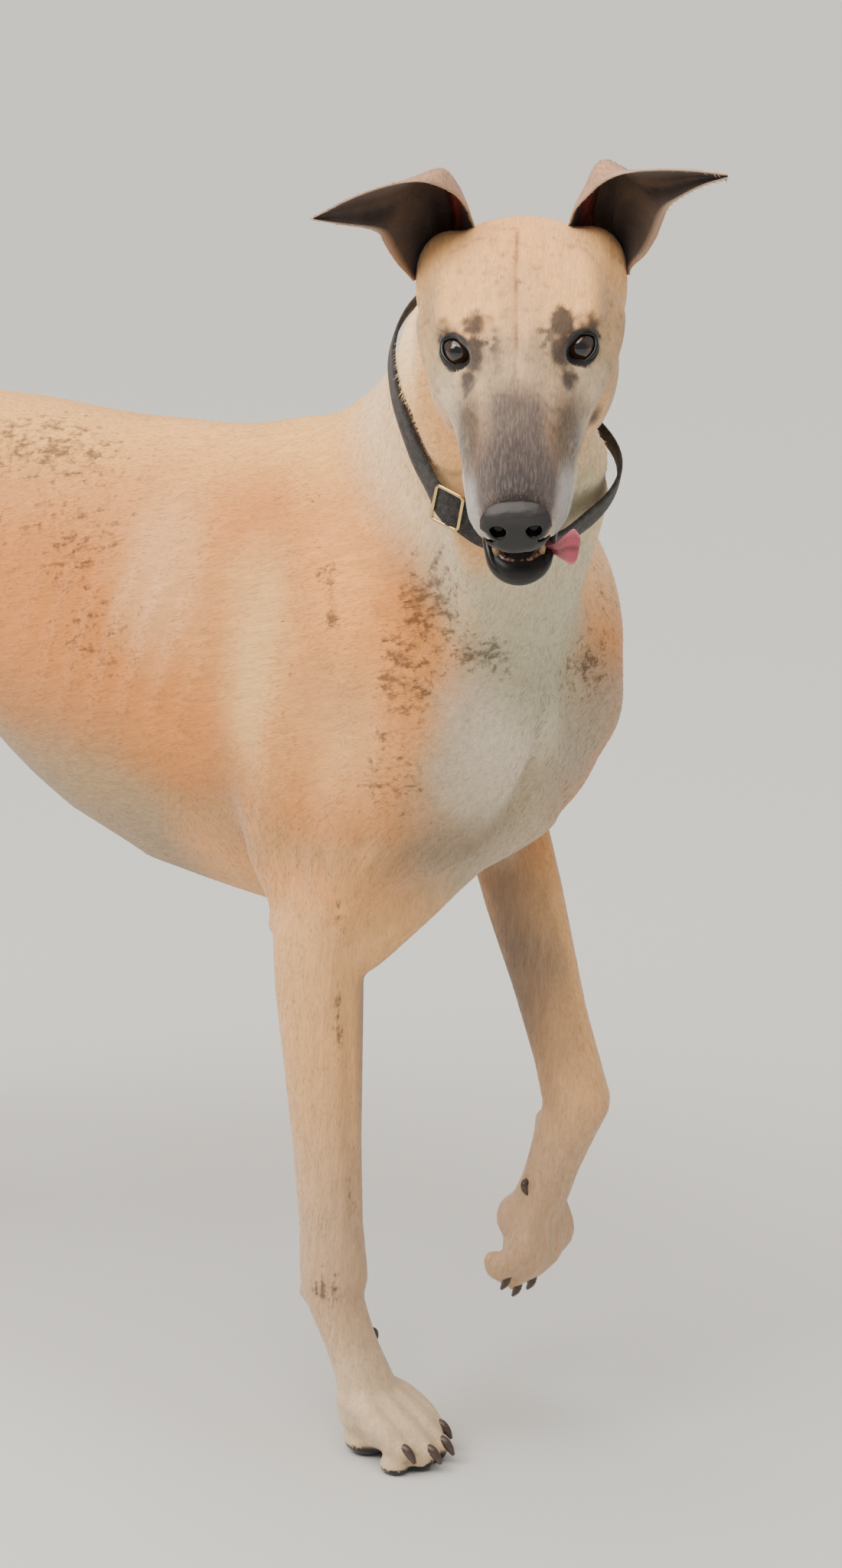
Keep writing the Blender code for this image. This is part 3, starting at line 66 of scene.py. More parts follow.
shift = middle_of("eye_right") - head_frame @ Vector((EYE_PLACE[0], -EYE_PLACE[1], EYE_PLACE[2]))
head_frame = Matrix.Translation(shift) @ head_frame
head_back = np.array(head_frame.inverted())


def body_points(points):
    """Points of the part in the animal's own measures."""
    return points - np.array(shift)


def head_points(points):
    """Points of the part in the frame of the head."""
    return points @ head_back[:3, :3].T + head_back[:3, 3]


# The view is that of a person standing at the animal's right front, a long lens looking down on
# it. The light is a bright overcast sky made from soft boxes over a plain pale floor.

FOCAL_PIXELS = 4500.0
PHOTO_HEIGHT = 2048
VIEW_PLACE = Vector((1.45271, -1.69057, 1.0064))
VIEW_TURN = math.radians(50.0703)
VIEW_TILT = math.radians(14.0189)

camera = bpy.data.objects.new("camera", bpy.data.cameras.new("camera"))
bpy.context.scene.collection.objects.link(camera)
camera.data.sensor_width = 36.0
camera.data.lens = FOCAL_PIXELS * camera.data.sensor_width / PHOTO_HEIGHT
camera.data.clip_end = 400.0
camera.location = shift + VIEW_PLACE
toward = Vector((-math.cos(VIEW_TURN) * math.cos(VIEW_TILT),
                 math.sin(VIEW_TURN) * math.cos(VIEW_TILT), -math.sin(VIEW_TILT)))
camera.rotation_euler = toward.to_track_quat("-Z", "Y").to_euler()
bpy.context.scene.camera = camera


def colour(text):
    """An sRGB hex colour as linear values."""
    parts = [int(text[i:i + 2], 16) / 255 for i in (1, 3, 5)]
    return tuple(c / 12.92 if c <= 0.04045 else ((c + 0.055) / 1.055) ** 2.4 for c in parts) + (1.0,)


def add_node(tree, kind, links=(), **settings):
    """Add a node with its settings and its links, each a socket, the source node and its output."""
    node = tree.nodes.new(kind)
    for name, value in settings.items():
        socket = name.replace("_", " ")
        if hasattr(node, name):
            setattr(node, name, value)
        elif name[:2] == "in" and name[2:].isdigit():
            node.inputs[int(name[2:])].default_value = value
        else:
            node.inputs[socket].default_value = value
    for target, source, output in links:
        tree.links.new(source.outputs[output], node.inputs[target])
    return node


def new_material(name):
    """A material with its Principled shader, and the tree they are in."""
    material = bpy.data.materials.new(name)
    material.use_nodes = True
    return material, material.node_tree, material.node_tree.nodes["Principled BSDF"]


LIT_PLACE = Vector((0.1, 0.0, 0.45))


def soft_box(name, place, size, power):
    """A square studio light that looks at the middle of the animal."""
    light = bpy.data.lights.new(name, "AREA")
    light.shape = "SQUARE"
    light.size = size
    light.energy = power
    item = bpy.data.objects.new(name, light)
    bpy.context.scene.collection.objects.link(item)
    item.location = place
    item.rotation_euler = (LIT_PLACE - Vector(place)).to_track_quat("-Z", "Y").to_euler()


soft_box("key_light", (-0.9, -2.6, 3.0), 2.0, 74)
soft_box("front_light", (1.8, -2.2, 4.0), 1.8, 32)
# A wide soft sun stands in for the bright sky above.
sky = bpy.data.lights.new("sky_light", "SUN")
sky.energy = 4.2
sky.angle = math.radians(70)
sky.color = colour("#FFF6EA")[:3]
sky_lamp = bpy.data.objects.new("sky_light", sky)
bpy.context.scene.collection.objects.link(sky_lamp)
sky_lamp.rotation_euler = (math.radians(14), math.radians(-8), 0.0)
world = bpy.data.worlds.new("studio")
bpy.context.scene.world = world
world.use_nodes = True
world.node_tree.nodes["Background"].inputs["Color"].default_value = colour("#F2F3F5")
world.node_tree.nodes["Background"].inputs["Strength"].default_value = 0.50

bpy.ops.object.select_all(action="DESELECT")
bpy.ops.mesh.primitive_plane_add(size=400.0, location=(0.0, 0.0, 0.0))
floor = bpy.context.object
floor.name = "studio_floor"
# Matt paint, rolled on evenly: pale, without gloss.
paint, tree, shader = new_material("matt_floor_paint")
shader.inputs["Base Color"].default_value = colour("#C9C9C5")
shader.inputs["Roughness"].default_value = 0.85
floor.data.materials.append(paint)


# The skin is one closed surface over head, neck, trunk, legs and tail. It starts from the solids
# of flesh, which are joined and drawn over with a fine even mesh. Their flat facets are smoothed
# away, most on the trunk and least on the feet, and it ends up inside them by the coat's depth.

FLESH = ("torso", "neck", "head", "jaw", "tail",
         "foreleg_right", "foreleg_left", "hindleg_right", "hindleg_left")
SKIN_VOXEL = 0.0016
SKIN_TRIANGLES = 188000

NECK_CUT_PLACE = np.array((-0.2385, 0.0, -0.043))
NECK_CUT_ALONG = np.array((0.92, 0.0, 0.393))
TAIL_LINE = ((-0.535, 0.000, 0.622), (-0.572, 0.000, 0.590), (-0.604, 0.000, 0.536),
             (-0.624, -0.001, 0.470), (-0.640, -0.002, 0.395), (-0.656, -0.004, 0.320),
             (-0.682, -0.006, 0.252), (-0.724, -0.010, 0.208), (-0.772, -0.014, 0.196),
             (-0.812, -0.018, 0.212))


def make_active(item):
    """Select one object alone."""
    bpy.ops.object.select_all(action="DESELECT")
    item.select_set(True)
    bpy.context.view_layer.objects.active = item


def apply_modifier(item, kind, **settings):
    """Add a modifier, set it and apply it."""
    modifier = item.modifiers.new(kind.lower(), kind)
    for name, value in settings.items():
        setattr(modifier, name, value)
    make_active(item)
    bpy.ops.object.modifier_apply(modifier=modifier.name)


def merged_nodes(name, nodes):
    """A copy of CAD solids with their loose triangles merged."""
    shape = bmesh.new()
    for node in nodes:
        shape.from_mesh(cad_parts[node].data)
    bmesh.ops.remove_doubles(shape, verts=shape.verts, dist=0.00001)
    mesh = bpy.data.meshes.new(name)
    shape.to_mesh(mesh)
    shape.free()
    item = bpy.data.objects.new(name, mesh)
    bpy.context.scene.collection.objects.link(item)
    return item


def places_of(item):
    """Places of the vertices as an array."""
    result = np.empty(len(item.data.vertices) * 3)
    item.data.vertices.foreach_get("co", result)
    return result.reshape(-1, 3)


def normals_of(item):
    """Normals of the vertices as an array."""
    result = np.empty(len(item.data.vertices) * 3)
    item.data.vertices.foreach_get("normal", result)
    return result.reshape(-1, 3)


def set_places(item, points):
    """Move the vertices to the places of an array."""
    item.data.vertices.foreach_set("co", np.ascontiguousarray(points, dtype=np.float32).ravel())
    item.data.update()


def rise(values, start, end):
    """Zero before start, one past end and smooth between."""
    t = np.clip((values - start) / (end - start), 0.0, 1.0)
    return t * t * (3 - 2 * t)


def near(points, centre, radii):
    """One at the centre of an ellipsoid, falling to zero at its surface."""
    reach = np.linalg.norm((points - np.array(centre)) / np.array(radii), axis=1)
    return np.clip(1 - reach ** 2, 0.0, 1.0) ** 1.5


def along_line(points, stations):
    """Distance from a line of stations, and the length along it at the nearest place."""
    stations = np.array(stations, float)
    best = np.full(len(points), 1e9)
    length = np.zeros(len(points))
    start = 0.0
    for a, b in zip(stations[:-1], stations[1:]):
        run = b - a
        t = np.clip((points - a) @ run / (run @ run), 0, 1)
        away = np.linalg.norm(points - a - t[:, None] * run, axis=1)
        closer = away < best
        best[closer] = away[closer]
        length[closer] = start + t[closer] * np.linalg.norm(run)
        start += np.linalg.norm(run)
    return best, length


def region_shares(points):
    """How much each point belongs to each region of the body, as a share of one."""
    body = body_points(points)
    head = head_points(points)
    x, y, z = body.T
    reach = np.linalg.norm(head - np.array((-0.13, 0.0, -0.02)), axis=1)
    in_head = rise((head - NECK_CUT_PLACE) @ NECK_CUT_ALONG, -0.015, 0.015) * rise(-reach, -0.20, -0.18)
    in_neck = rise((body - np.array((0.089, 0.0, 0.636))) @ np.array((0.735, 0.0, 0.678)), -0.035, 0.035)
    in_neck = in_neck * (1 - in_head) * rise(z, 0.53, 0.58)
    away, length = along_line(body, TAIL_LINE)
    in_tail = rise(-away, -0.034, -0.024) * rise(length, 0.04, 0.09)
    in_fore = rise(-z, -0.50, -0.40) * rise(x, -0.14, -0.10)
    in_hind = rise(-z, -0.56, -0.46) * rise(-x, 0.37, 0.43) * (1 - in_tail)
    left = rise(y, -0.01, 0.03)
    shares = [in_head, in_neck, in_tail, in_fore * (1 - left), in_fore * left,
              in_hind * (1 - left), in_hind * left]
    trunk = np.clip(1 - sum(shares), 0, 1)
    shares = np.array([trunk] + shares).T
    return shares / shares.sum(axis=1)[:, None]


REGIONS = ("trunk", "head", "neck", "tail", "foreleg_right", "foreleg_left",
           "hindleg_right", "hindleg_left")
TRUNK, HEAD, NECK, TAIL, FORE_RIGHT, FORE_LEFT, HIND_RIGHT, HIND_LEFT = range(8)


def soften(item, shares, rounds):
    """Smooth a surface, in five steps of strength given for each vertex."""
    group = item.vertex_groups.new(name="soft")
    steps = np.clip(np.round(shares * 5), 0, 5).astype(int)
    for step in range(1, 6):
        members = np.nonzero(steps == step)[0].tolist()
        if members:
            group.add(members, step / 5, "REPLACE")
    apply_modifier(item, "SMOOTH", factor=1.0, iterations=rounds, vertex_group="soft")
    item.vertex_groups.remove(item.vertex_groups["soft"])


skin = merged_nodes("skin", FLESH)
apply_modifier(skin, "DISPLACE", strength=0.00022, mid_level=0.0)
apply_modifier(skin, "REMESH", mode="VOXEL", voxel_size=SKIN_VOXEL)
body = body_points(places_of(skin))
shares = region_shares(places_of(skin))
leg_share = shares[:, 4:].sum(axis=1)
foot = leg_share * rise(-body[:, 2], -0.085, -0.055)
lifted = np.linalg.norm((body - np.array((0.088, 0.082, 0.105))) / np.array((0.06, 0.06, 0.055)), axis=1)
foot = np.maximum(foot, rise(-lifted, -1.25, -0.95))
rounds = 4
soften(skin, (shares[:, TRUNK] + shares[:, NECK]) ** 2 * (1 - foot), 24 * rounds)
soften(skin, (1 - foot) * (1 - 0.75 * shares[:, TAIL]), 4 * rounds)
soften(skin, np.ones(len(body)), rounds)

# Lines where muscles and folds of skin meet, as stations of the body with the width and the depth of
# each groove. A depth below zero raises a ridge.
FORM_LINES = (
    (((0.150, 0.003, 0.565), (0.143, 0.000, 0.515), (0.139, -0.004, 0.480), (0.128, -0.012, 0.452)), 0.009,
     0.0040),
    (((0.137, -0.006, 0.480), (0.128, -0.025, 0.457), (0.115, -0.047, 0.434)), 0.008, 0.0026),
    (((0.137, 0.012, 0.480), (0.130, 0.035, 0.460), (0.118, 0.055, 0.440)), 0.008, 0.0026),
    (((0.148, 0.001, 0.535), (0.146, 0.001, 0.520)), 0.012, -0.0035),
    (((0.078, -0.090, 0.590), (0.070, -0.092, 0.550), (0.064, -0.093, 0.490), (0.068, -0.094, 0.441)),
     0.010, 0.0024),
    (((0.121, -0.062, 0.528), (0.097, -0.079, 0.552)), 0.008, -0.0018),
    (((-0.015, -0.095, 0.570), (-0.036, -0.095, 0.500), (-0.030, -0.090, 0.440)), 0.012, 0.0020),
    (((-0.010, 0.095, 0.570), (-0.030, 0.095, 0.500), (-0.024, 0.090, 0.440)), 0.012, 0.0020),
    (((0.078, 0.092, 0.590), (0.070, 0.094, 0.540), (0.066, 0.094, 0.470)), 0.010, 0.0024),
    (((0.030, -0.097, 0.424), (0.046, -0.093, 0.394)), 0.005, 0.0018),
    (((0.012, -0.096, 0.412), (0.022, -0.094, 0.388)), 0.005, 0.0014),
    (((0.045, -0.085, 0.360), (0.040, -0.072, 0.250), (0.036, -0.066, 0.170)), 0.004, 0.0012),
    (((-0.450, -0.100, 0.575), (-0.492, -0.102, 0.480)), 0.011, 0.0026),
    (((-0.450, 0.100, 0.575), (-0.505, 0.104, 0.480)), 0.011, 0.0026),
    (((-0.560, -0.098, 0.300), (-0.598, -0.096, 0.225)), 0.007, 0.0030),
    (((-0.620, 0.102, 0.310), (-0.668, 0.100, 0.232)), 0.007, 0.0030),
    (((-0.330, -0.098, 0.560), (-0.390, -0.092, 0.480)), 0.020, 0.0030),
    (((-0.330, 0.098, 0.560), (-0.395, 0.092, 0.480)), 0.020, 0.0030))

FORM_STRENGTH = 1.6
RIB_SPACING = 0.027
RIB_HEIGHT = 0.0015

points = places_of(skin)
normals = normals_of(skin)
for stations, reach, depth in FORM_LINES:
    away, _ = along_line(body, stations)
    points -= normals * (FORM_STRENGTH * depth * np.exp(-(away / reach) ** 2))[:, None]
for side in (-1, 1):
    cage = near(body, (-0.150, side * 0.095, 0.560), (0.150, 0.060, 0.120))
    ribs = np.sin(2 * math.pi * (body[:, 0] - 0.35 * body[:, 2]) / RIB_SPACING)
    points += normals * (RIB_HEIGHT * ribs * cage)[:, None]

# The collar's ring round the neck: its middle, its axis toward the head, and the distance of the
# skin at both edges of the strap. The skin is pressed under the strap and rolls up in front of it.
COLLAR_MIDDLE = np.array((0.150, -0.062, 0.714)) + np.array(shift)
COLLAR_AXIS = np.array((0.745, -0.440, 0.500)) / np.linalg.norm((0.745, -0.440, 0.500))
STRAP_HALF = 0.0090
RING_STEPS = 120
ring_right = np.cross(COLLAR_AXIS, (0.0, 0.0, 1.0))
ring_right /= np.linalg.norm(ring_right)
ring_up = np.cross(ring_right, COLLAR_AXIS)


def ring_points(places):
    """Place along the collar's axis, distance from it, and angle round it in steps."""
    local = places - COLLAR_MIDDLE
    across, up = local @ ring_right, local @ ring_up
    step = np.arctan2(up, across) / (2 * math.pi) * RING_STEPS % RING_STEPS
    return local @ COLLAR_AXIS, np.hypot(across, up), step


def ring_value(values, step):
    """A value that is known for each step of the ring, at any place between them."""
    return np.interp(step, np.arange(RING_STEPS), values, period=RING_STEPS)


def evened(values, rounds):
    """Values round the ring, each blended with its neighbours."""
    for _ in range(rounds):
        values = (np.roll(values, 1) + 2 * values + np.roll(values, -1)) / 4
    return values


def steps_from(steps, step):
    """The short way round the ring from one step to others."""
    return (steps - step + RING_STEPS / 2) % RING_STEPS - RING_STEPS / 2


def ring_distance(front):
    """Outer distance of one edge of the strap's solid from the axis for each step, evened out."""
    along, away, step = ring_points(places_of(strap_solid))
    mine = (along > 0) == front
    found = []
    for k in steps:
        close = np.abs(steps_from(step[mine], k)) < EDGE_REACH
        found.append(away[mine][close].max() if close.any() else np.nan)
    good = np.nonzero(~np.isnan(found))[0]
    found = np.interp(np.arange(RING_STEPS), good, np.array(found)[good], period=RING_STEPS)
    return evened(found, 10) - STRAP_THICK


EDGE_REACH = 4.5
steps = np.arange(RING_STEPS) + 0.5
STRAP_THICK = 0.0024
strap_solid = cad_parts["collar_strap"]
ring_back, ring_front = ring_distance(False), ring_distance(True)
SLIDE_PLACE = np.array((0.1516, -0.1103, 0.6691)) + np.array(shift)
slide_step = float(ring_points(SLIDE_PLACE[None])[2][0])
step_length = 2 * math.pi * (ring_back + ring_front) / 2 / RING_STEPS
from_slide = steps_from(steps, slide_step) * step_length
slide_angle = slide_step * 2 * math.pi / RING_STEPS
way_round = ring_up * math.cos(slide_angle) - ring_right * math.sin(slide_angle)
turn_down = -1 if way_round[2] > 0 else 1
down_strap = from_slide * turn_down
# The strap doesn't lie in one flat ring. These are places along it, counted from the slide and down
# the neck, and how far toward the head it has strayed from the ring there.
STRAP_PATH = ((-0.140, 0.000), (-0.070, 0.004), (-0.055, 0.004), (-0.040, 0.001), (-0.024, -0.002),
              (-0.008, 0.003), (0.008, 0.011), (0.040, 0.012), (0.090, 0.005), (0.160, 0.000))
ring_sag = evened(np.interp(down_strap, *zip(*STRAP_PATH)), 4)


def on_strap(places):
    """Place across the strap, distance from the axis and step round it."""
    along, away, step = ring_points(places)
    return along - ring_value(ring_sag, step - 0.5), away, step


NECK_REACH = 0.022
along, away, step = on_strap(points)
by_neck = np.abs(away - ring_value(ring_back, step)) < NECK_REACH
pressed = rise(-np.abs(along), -STRAP_HALF * 1.15, -STRAP_HALF * 0.7) * by_neck
rolled = np.exp(-((along - 0.0175) / 0.0065) ** 2) * by_neck * (1 - shares[:, HEAD])
beside = near(body, (0.134, -0.118, 0.755), (0.050, 0.050, 0.055))
points += normals * (rolled * (0.0016 + 0.0055 * beside) - 0.0014 * pressed)[:, None]
set_places(skin, points)


# The head gets its folds one by one: brows over the inner corners of the eyes, hollows before and
# under them, a furrow down the forehead, the pads that carry the whiskers, and the two lids that
# lie on each ball and leave an almond opening.

def bump(points, normals, height, centre, radii):
    """Raise or press the surface round a place of the head, on both sides."""
    for side in (1, -1):
        spot = np.array((centre[0], centre[1] * side, centre[2]))
        points += normals * (near(head_points(points), spot, radii) * height)[:, None]
    return points


# From the middle of the ball to the inner and outer corner, and to the top and bottom of the opening.
LID_OPENING = (0.0122, 0.0112, 0.0083, 0.0078)
LID_DEPTH = 0.0019
LID_REACH = 0.0185
EYE_OUTWARD, EYE_UPWARD, EYE_SLANT = math.radians(17.0), math.radians(-32.0), math.radians(23.0)


def eye_frame(side):
    """Frame of an eye in the part: +X looks out and +Z is the short way of the lids."""
    x, y, z = EYE_PLACE
    turn = (Matrix.Rotation(side * EYE_OUTWARD, 4, "Z")
            @ Matrix.Rotation(EYE_UPWARD, 4, "Y")
            @ Matrix.Rotation(side * EYE_SLANT, 4, "X"))
    return head_frame @ Matrix.Translation((x, side * y, z)) @ turn


def in_frame(matrix, points):
    """Points in the measures of a frame."""
    back = np.array(matrix.inverted())
    return points @ back[:3, :3].T + back[:3, 3]


def out_of_frame(matrix, points):
    """Points from a frame back in the part."""
    out = np.array(matrix)
    return points @ out[:3, :3].T + out[:3, 3]


def lid_edge(side, across):
    """Height of the upper and of the lower lid's edge at a place across the eye."""
    inner, outer, top, bottom = LID_OPENING
    t = np.clip((side * across + inner) / (inner + outer), 0, 1)
    arch = (4 * t * (1 - t)) ** 0.55
    return arch * top, -arch * bottom


def part_lids(points, side):
    """Lay the skin on the ball round the opening, and fold it behind the ball inside of it."""
    local = in_frame(eye_frame(side), points)
    depth, across, up = local.T
    reach = np.linalg.norm(local, axis=1)
    upper, lower = lid_edge(side, across)
    inside = np.minimum(upper - up, up - lower)
    beside = np.minimum(side * across + LID_OPENING[0], LID_OPENING[1] - side * across)
    inside = np.minimum(inside, beside)
    close = (reach < LID_REACH) & (depth > 0.0)
    goal = EYE_RADIUS + LID_DEPTH * rise(-inside, -0.0002, 0.0012) - 0.0042 * rise(inside, 0.0002, 0.0012)
    share = rise(-reach, -LID_REACH, -0.0145) * close
    lift = np.where(inside > 0.0002, goal, np.maximum(goal, reach * 0.35 + goal * 0.65))
    moved = local * (1 + share * (lift / np.maximum(reach, 1e-6) - 1))[:, None]
    return np.where(close[:, None], out_of_frame(eye_frame(side), moved), points)


points = places_of(skin)
normals = normals_of(skin)
for height, centre, radii in (
        (0.0016, (-0.150, 0.024, 0.012), (0.018, 0.011, 0.012)),
        (0.0014, (-0.170, 0.040, 0.008), (0.020, 0.012, 0.012)),
        (-0.0016, (-0.122, 0.027, -0.004), (0.018, 0.012, 0.016)),
        (-0.0012, (-0.112, 0.034, -0.024), (0.026, 0.012, 0.014)),
        (-0.0010, (-0.160, 0.048, -0.030), (0.020, 0.012, 0.012)),
        (0.0012, (-0.030, 0.022, -0.026), (0.020, 0.012, 0.012)),
        (-0.0008, (-0.055, 0.024, -0.012), (0.024, 0.010, 0.010)),
        (0.0012, (-0.200, 0.036, 0.010), (0.034, 0.016, 0.018)),
        (0.0120, (-0.230, 0.051, -0.010), (0.036, 0.030, 0.040)),
        (0.0034, (-0.188, 0.054, -0.034), (0.046, 0.022, 0.040))):
    points = bump(points, normals, height, centre, radii)
head = head_points(points)
furrow = np.exp(-(head[:, 1] / 0.0036) ** 2) * rise(head[:, 0], -0.222, -0.200) * rise(-head[:, 0], 0.095,
                                                                                       0.120)
for side in (-1, 1):
    away, _ = along_line(head, ((-0.226, side * 0.048, 0.004), (-0.229, side * 0.054, -0.008),
                                (-0.232, side * 0.058, -0.020)))
    points -= normals * (0.0022 * np.exp(-(away / 0.0032) ** 2))[:, None]
points -= normals * (0.0011 * furrow * shares[:, HEAD] * (normals @ np.array(head_frame)[:3, 2] > 0.2))[:,
                                                                                                        None]
points = part_lids(part_lids(points, 1), -1)
set_places(skin, points)

group = skin.vertex_groups.new(name="coarse")
head = head_points(points)
face = shares[:, HEAD] * rise(head[:, 0], -0.24, -0.21)
keep = np.clip(np.maximum(face, foot), 0, 1)
fine = np.nonzero(keep > 0.5)[0].tolist()
coarse = np.nonzero(keep <= 0.5)[0].tolist()
group.add(coarse, 1.0, "REPLACE")
group.add(fine, 0.0, "REPLACE")
whole = 2 * len(skin.data.polygons)
apply_modifier(skin, "DECIMATE", ratio=SKIN_TRIANGLES / whole, vertex_group="coarse")
make_active(skin)
bpy.ops.object.shade_smooth()


# The coat is short, flat and close. It is golden fawn on the back and sides with a few streaks of
# dark brindle, cream on neck and legs, and grey white below. Painted light lies along the top of the
# back, and painted shade lies on the underside, the breast and the inner forelegs. Age has frosted the
# face. Skin and tufts read the same colours, which are worked out from places on the body, and for
# the shade on breast and forelegs also from the way the surface faces.

def lattice_noise(points, size, seed):
    """Smooth random values from 0 to 1 that change about once in each size."""
    spot = points / size + seed * 7.31
    base = np.floor(spot).astype(np.int64)
    part = spot - base
    part = part * part * (3 - 2 * part)
    total = np.zeros(len(points))
    for corner in range(8):
        step = np.array([(corner >> axis) & 1 for axis in range(3)])
        key = base + step
        mixed = key[:, 0] * 73856093 ^ key[:, 1] * 19349663 ^ key[:, 2] * 83492791 ^ seed * 40503
        mixed = (mixed * 1103515245 + 12345) & 0x7FFFFFFF
        value = ((mixed >> 7) & 0xFFFF) / 65535
        total += value * np.prod(np.where(step == 1, part, 1 - part), axis=1)
    return total


def mix(values, text, share):
    """Blend colours toward a hex colour."""
    return values + (np.array(colour(text)[:3]) - values) * np.clip(share, 0, 1)[:, None]


def patched(tone, points, patches, share=1.0, sides=(1,)):
    """Blend in ellipsoids of colour, each with its strength, middle and reach."""
    for side in sides:
        for text, strength, (x, y, z), reach in patches:
            tone = mix(tone, text, strength * share * near(points, (x, side * y, z), reach))
    return tone


# Streaks of brindle from place to place, with reach and strength, and blotches with the same.
STREAKS = (((-0.004, -0.053, 0.669), (0.018, -0.078, 0.622), 0.008, 0.80),
           ((0.018, -0.078, 0.622), (0.033, -0.085, 0.583), 0.010, 0.95),
           ((-0.007, -0.078, 0.577), (0.002, -0.086, 0.530), 0.008, 0.85),
           ((0.002, -0.086, 0.530), (0.014, -0.087, 0.489), 0.009, 0.75),
           ((0.050, -0.087, 0.400), (0.037, -0.084, 0.315), 0.006, 0.80),
           ((0.037, -0.084, 0.315), (0.038, -0.064, 0.200), 0.007, 1.00),
           ((0.036, -0.064, 0.200), (0.024, -0.078, 0.130), 0.008, 0.75),
           ((0.046, 0.090, 0.660), (0.030, 0.092, 0.560), 0.010, 0.85),
           ((-0.005, 0.086, 0.600), (0.010, 0.092, 0.500), 0.010, 0.75),
           ((0.080, 0.062, 0.180), (0.076, 0.064, 0.164), 0.008, 1.0),
           ((-0.470, -0.095, 0.560), (-0.505, -0.100, 0.450), 0.012, 0.75),
           ((-0.520, -0.070, 0.600), (-0.545, -0.080, 0.480), 0.010, 0.70),
           ((-0.470, 0.095, 0.560), (-0.515, 0.100, 0.450), 0.012, 0.75),
           ((-0.400, -0.090, 0.600), (-0.420, -0.095, 0.500), 0.010, 0.65),
           ((-0.400, 0.090, 0.600), (-0.430, 0.095, 0.500), 0.010, 0.65))
BLOTCHES = (((0.116, -0.074, 0.590), (0.036, 0.035, 0.062), 0.95),
            ((0.135, -0.084, 0.618), (0.028, 0.035, 0.030), 0.80),
            ((0.090, -0.084, 0.550), (0.030, 0.030, 0.045), 0.80),
            ((0.126, -0.052, 0.562), (0.026, 0.030, 0.030), 0.85),
            ((-0.250, -0.048, 0.662), (0.120, 0.050, 0.050), 0.78),
            ((-0.205, -0.080, 0.600), (0.080, 0.045, 0.060), 0.62),
            ((-0.169, -0.090, 0.540), (0.070, 0.040, 0.060), 0.55),
            ((-0.330, -0.080, 0.600), (0.090, 0.050, 0.080), 0.66),
            ((0.138, 0.042, 0.545), (0.030, 0.035, 0.034), 0.80),
            ((0.148, 0.070, 0.580), (0.036, 0.030, 0.036), 0.70),
            ((0.019, -0.082, 0.117), (0.020, 0.018, 0.015), 1.0),
            ((0.085, -0.088, 0.480), (0.040, 0.030, 0.050), 0.55),
            ((-0.240, 0.060, 0.650), (0.120, 0.050, 0.060), 0.76),
            ((-0.060, 0.085, 0.610), (0.080, 0.040, 0.070), 0.60),
            ((-0.330, 0.080, 0.600), (0.090, 0.050, 0.080), 0.66),
            ((-0.430, 0.000, 0.650), (0.120, 0.090, 0.050), 0.70),
            ((-0.600, 0.000, 0.480), (0.060, 0.040, 0.140), 0.60))


SIDE_PATCHES = (("#F8C47C", 0.8, (-0.030, 0.090, 0.535), (0.045, 0.06, 0.130)),
                ("#FAA95B", 1.1, (0.035, 0.085, 0.625), (0.070, 0.06, 0.090)),
                ("#E7AA6A", 0.9, (0.045, 0.095, 0.500), (0.055, 0.05, 0.080)),
                ("#F6BD85", 0.6, (-0.120, 0.085, 0.600), (0.050, 0.05, 0.090)))
# Patches of the breast's colour; the dark one low on the breast is partly its own grey and partly painted
# shade under the chest.
BREAST_PATCHES = (("#FBE9CF", 0.8, (0.136, -0.034, 0.510), (0.060, 0.060, 0.062)),
                  ("#F2E6D0", 1.2, (0.140, 0.004, 0.560), (0.040, 0.018, 0.075)),
                  ("#93806A", 0.9, (0.100, -0.050, 0.430), (0.075, 0.065, 0.045)),
                  ("#A89E8A", 0.8, (0.135, 0.055, 0.500), (0.050, 0.050, 0.070)))
FOREHEAD_PATCHES = (("#FFB671", 0.9, (-0.210, 0.0, 0.026), (0.060, 0.030, 0.04)),
                    ("#E0A873", 0.8, (-0.165, 0.0, 0.018), (0.040, 0.020, 0.03)))
CHEEK_PATCHES = (("#C39C70", 1.0, (-0.175, 0.052, -0.006), (0.040, 0.022, 0.030)),
                 ("#B59B76", 1.2, (-0.145, 0.040, -0.016), (0.036, 0.022, 0.030)),
                 ("#CDB593", 1.2, (-0.118, 0.038, -0.026), (0.040, 0.020, 0.026)),
                 ("#CDB08A", 1.0, (-0.185, 0.050, -0.055), (0.050, 0.030, 0.040)),
                 ("#9E8467", 0.8, (-0.128, 0.014, 0.006), (0.026, 0.014, 0.020)))
MUZZLE_PATCHES = (("#3F312D", 1.1, (-0.034, 0.0, -0.002), (0.032, 0.022, 0.020)),
                  ("#332927", 1.7, (-0.018, 0.0, -0.003), (0.018, 0.018, 0.012)))
# Dark smudges at the eyes: strength on the right and on the left side, middle and reach.
EYE_SMUDGES = ((1.5, 1.5, (-0.134, 0.0245, 0.0035), (0.020, 0.0095, 0.014)),
               (0.95, 1.6, (-0.1490, 0.0245, 0.0130), (0.017, 0.0095, 0.012)),
               (1.1, 1.1, (-0.119, 0.0290, -0.0040), (0.015, 0.0085, 0.010)),
               (1.0, 1.0, (-0.148, 0.0400, 0.0020), (0.024, 0.014, 0.014)))
TEATS = ((-0.185, 0.371), (-0.262, 0.394), (-0.330, 0.436))


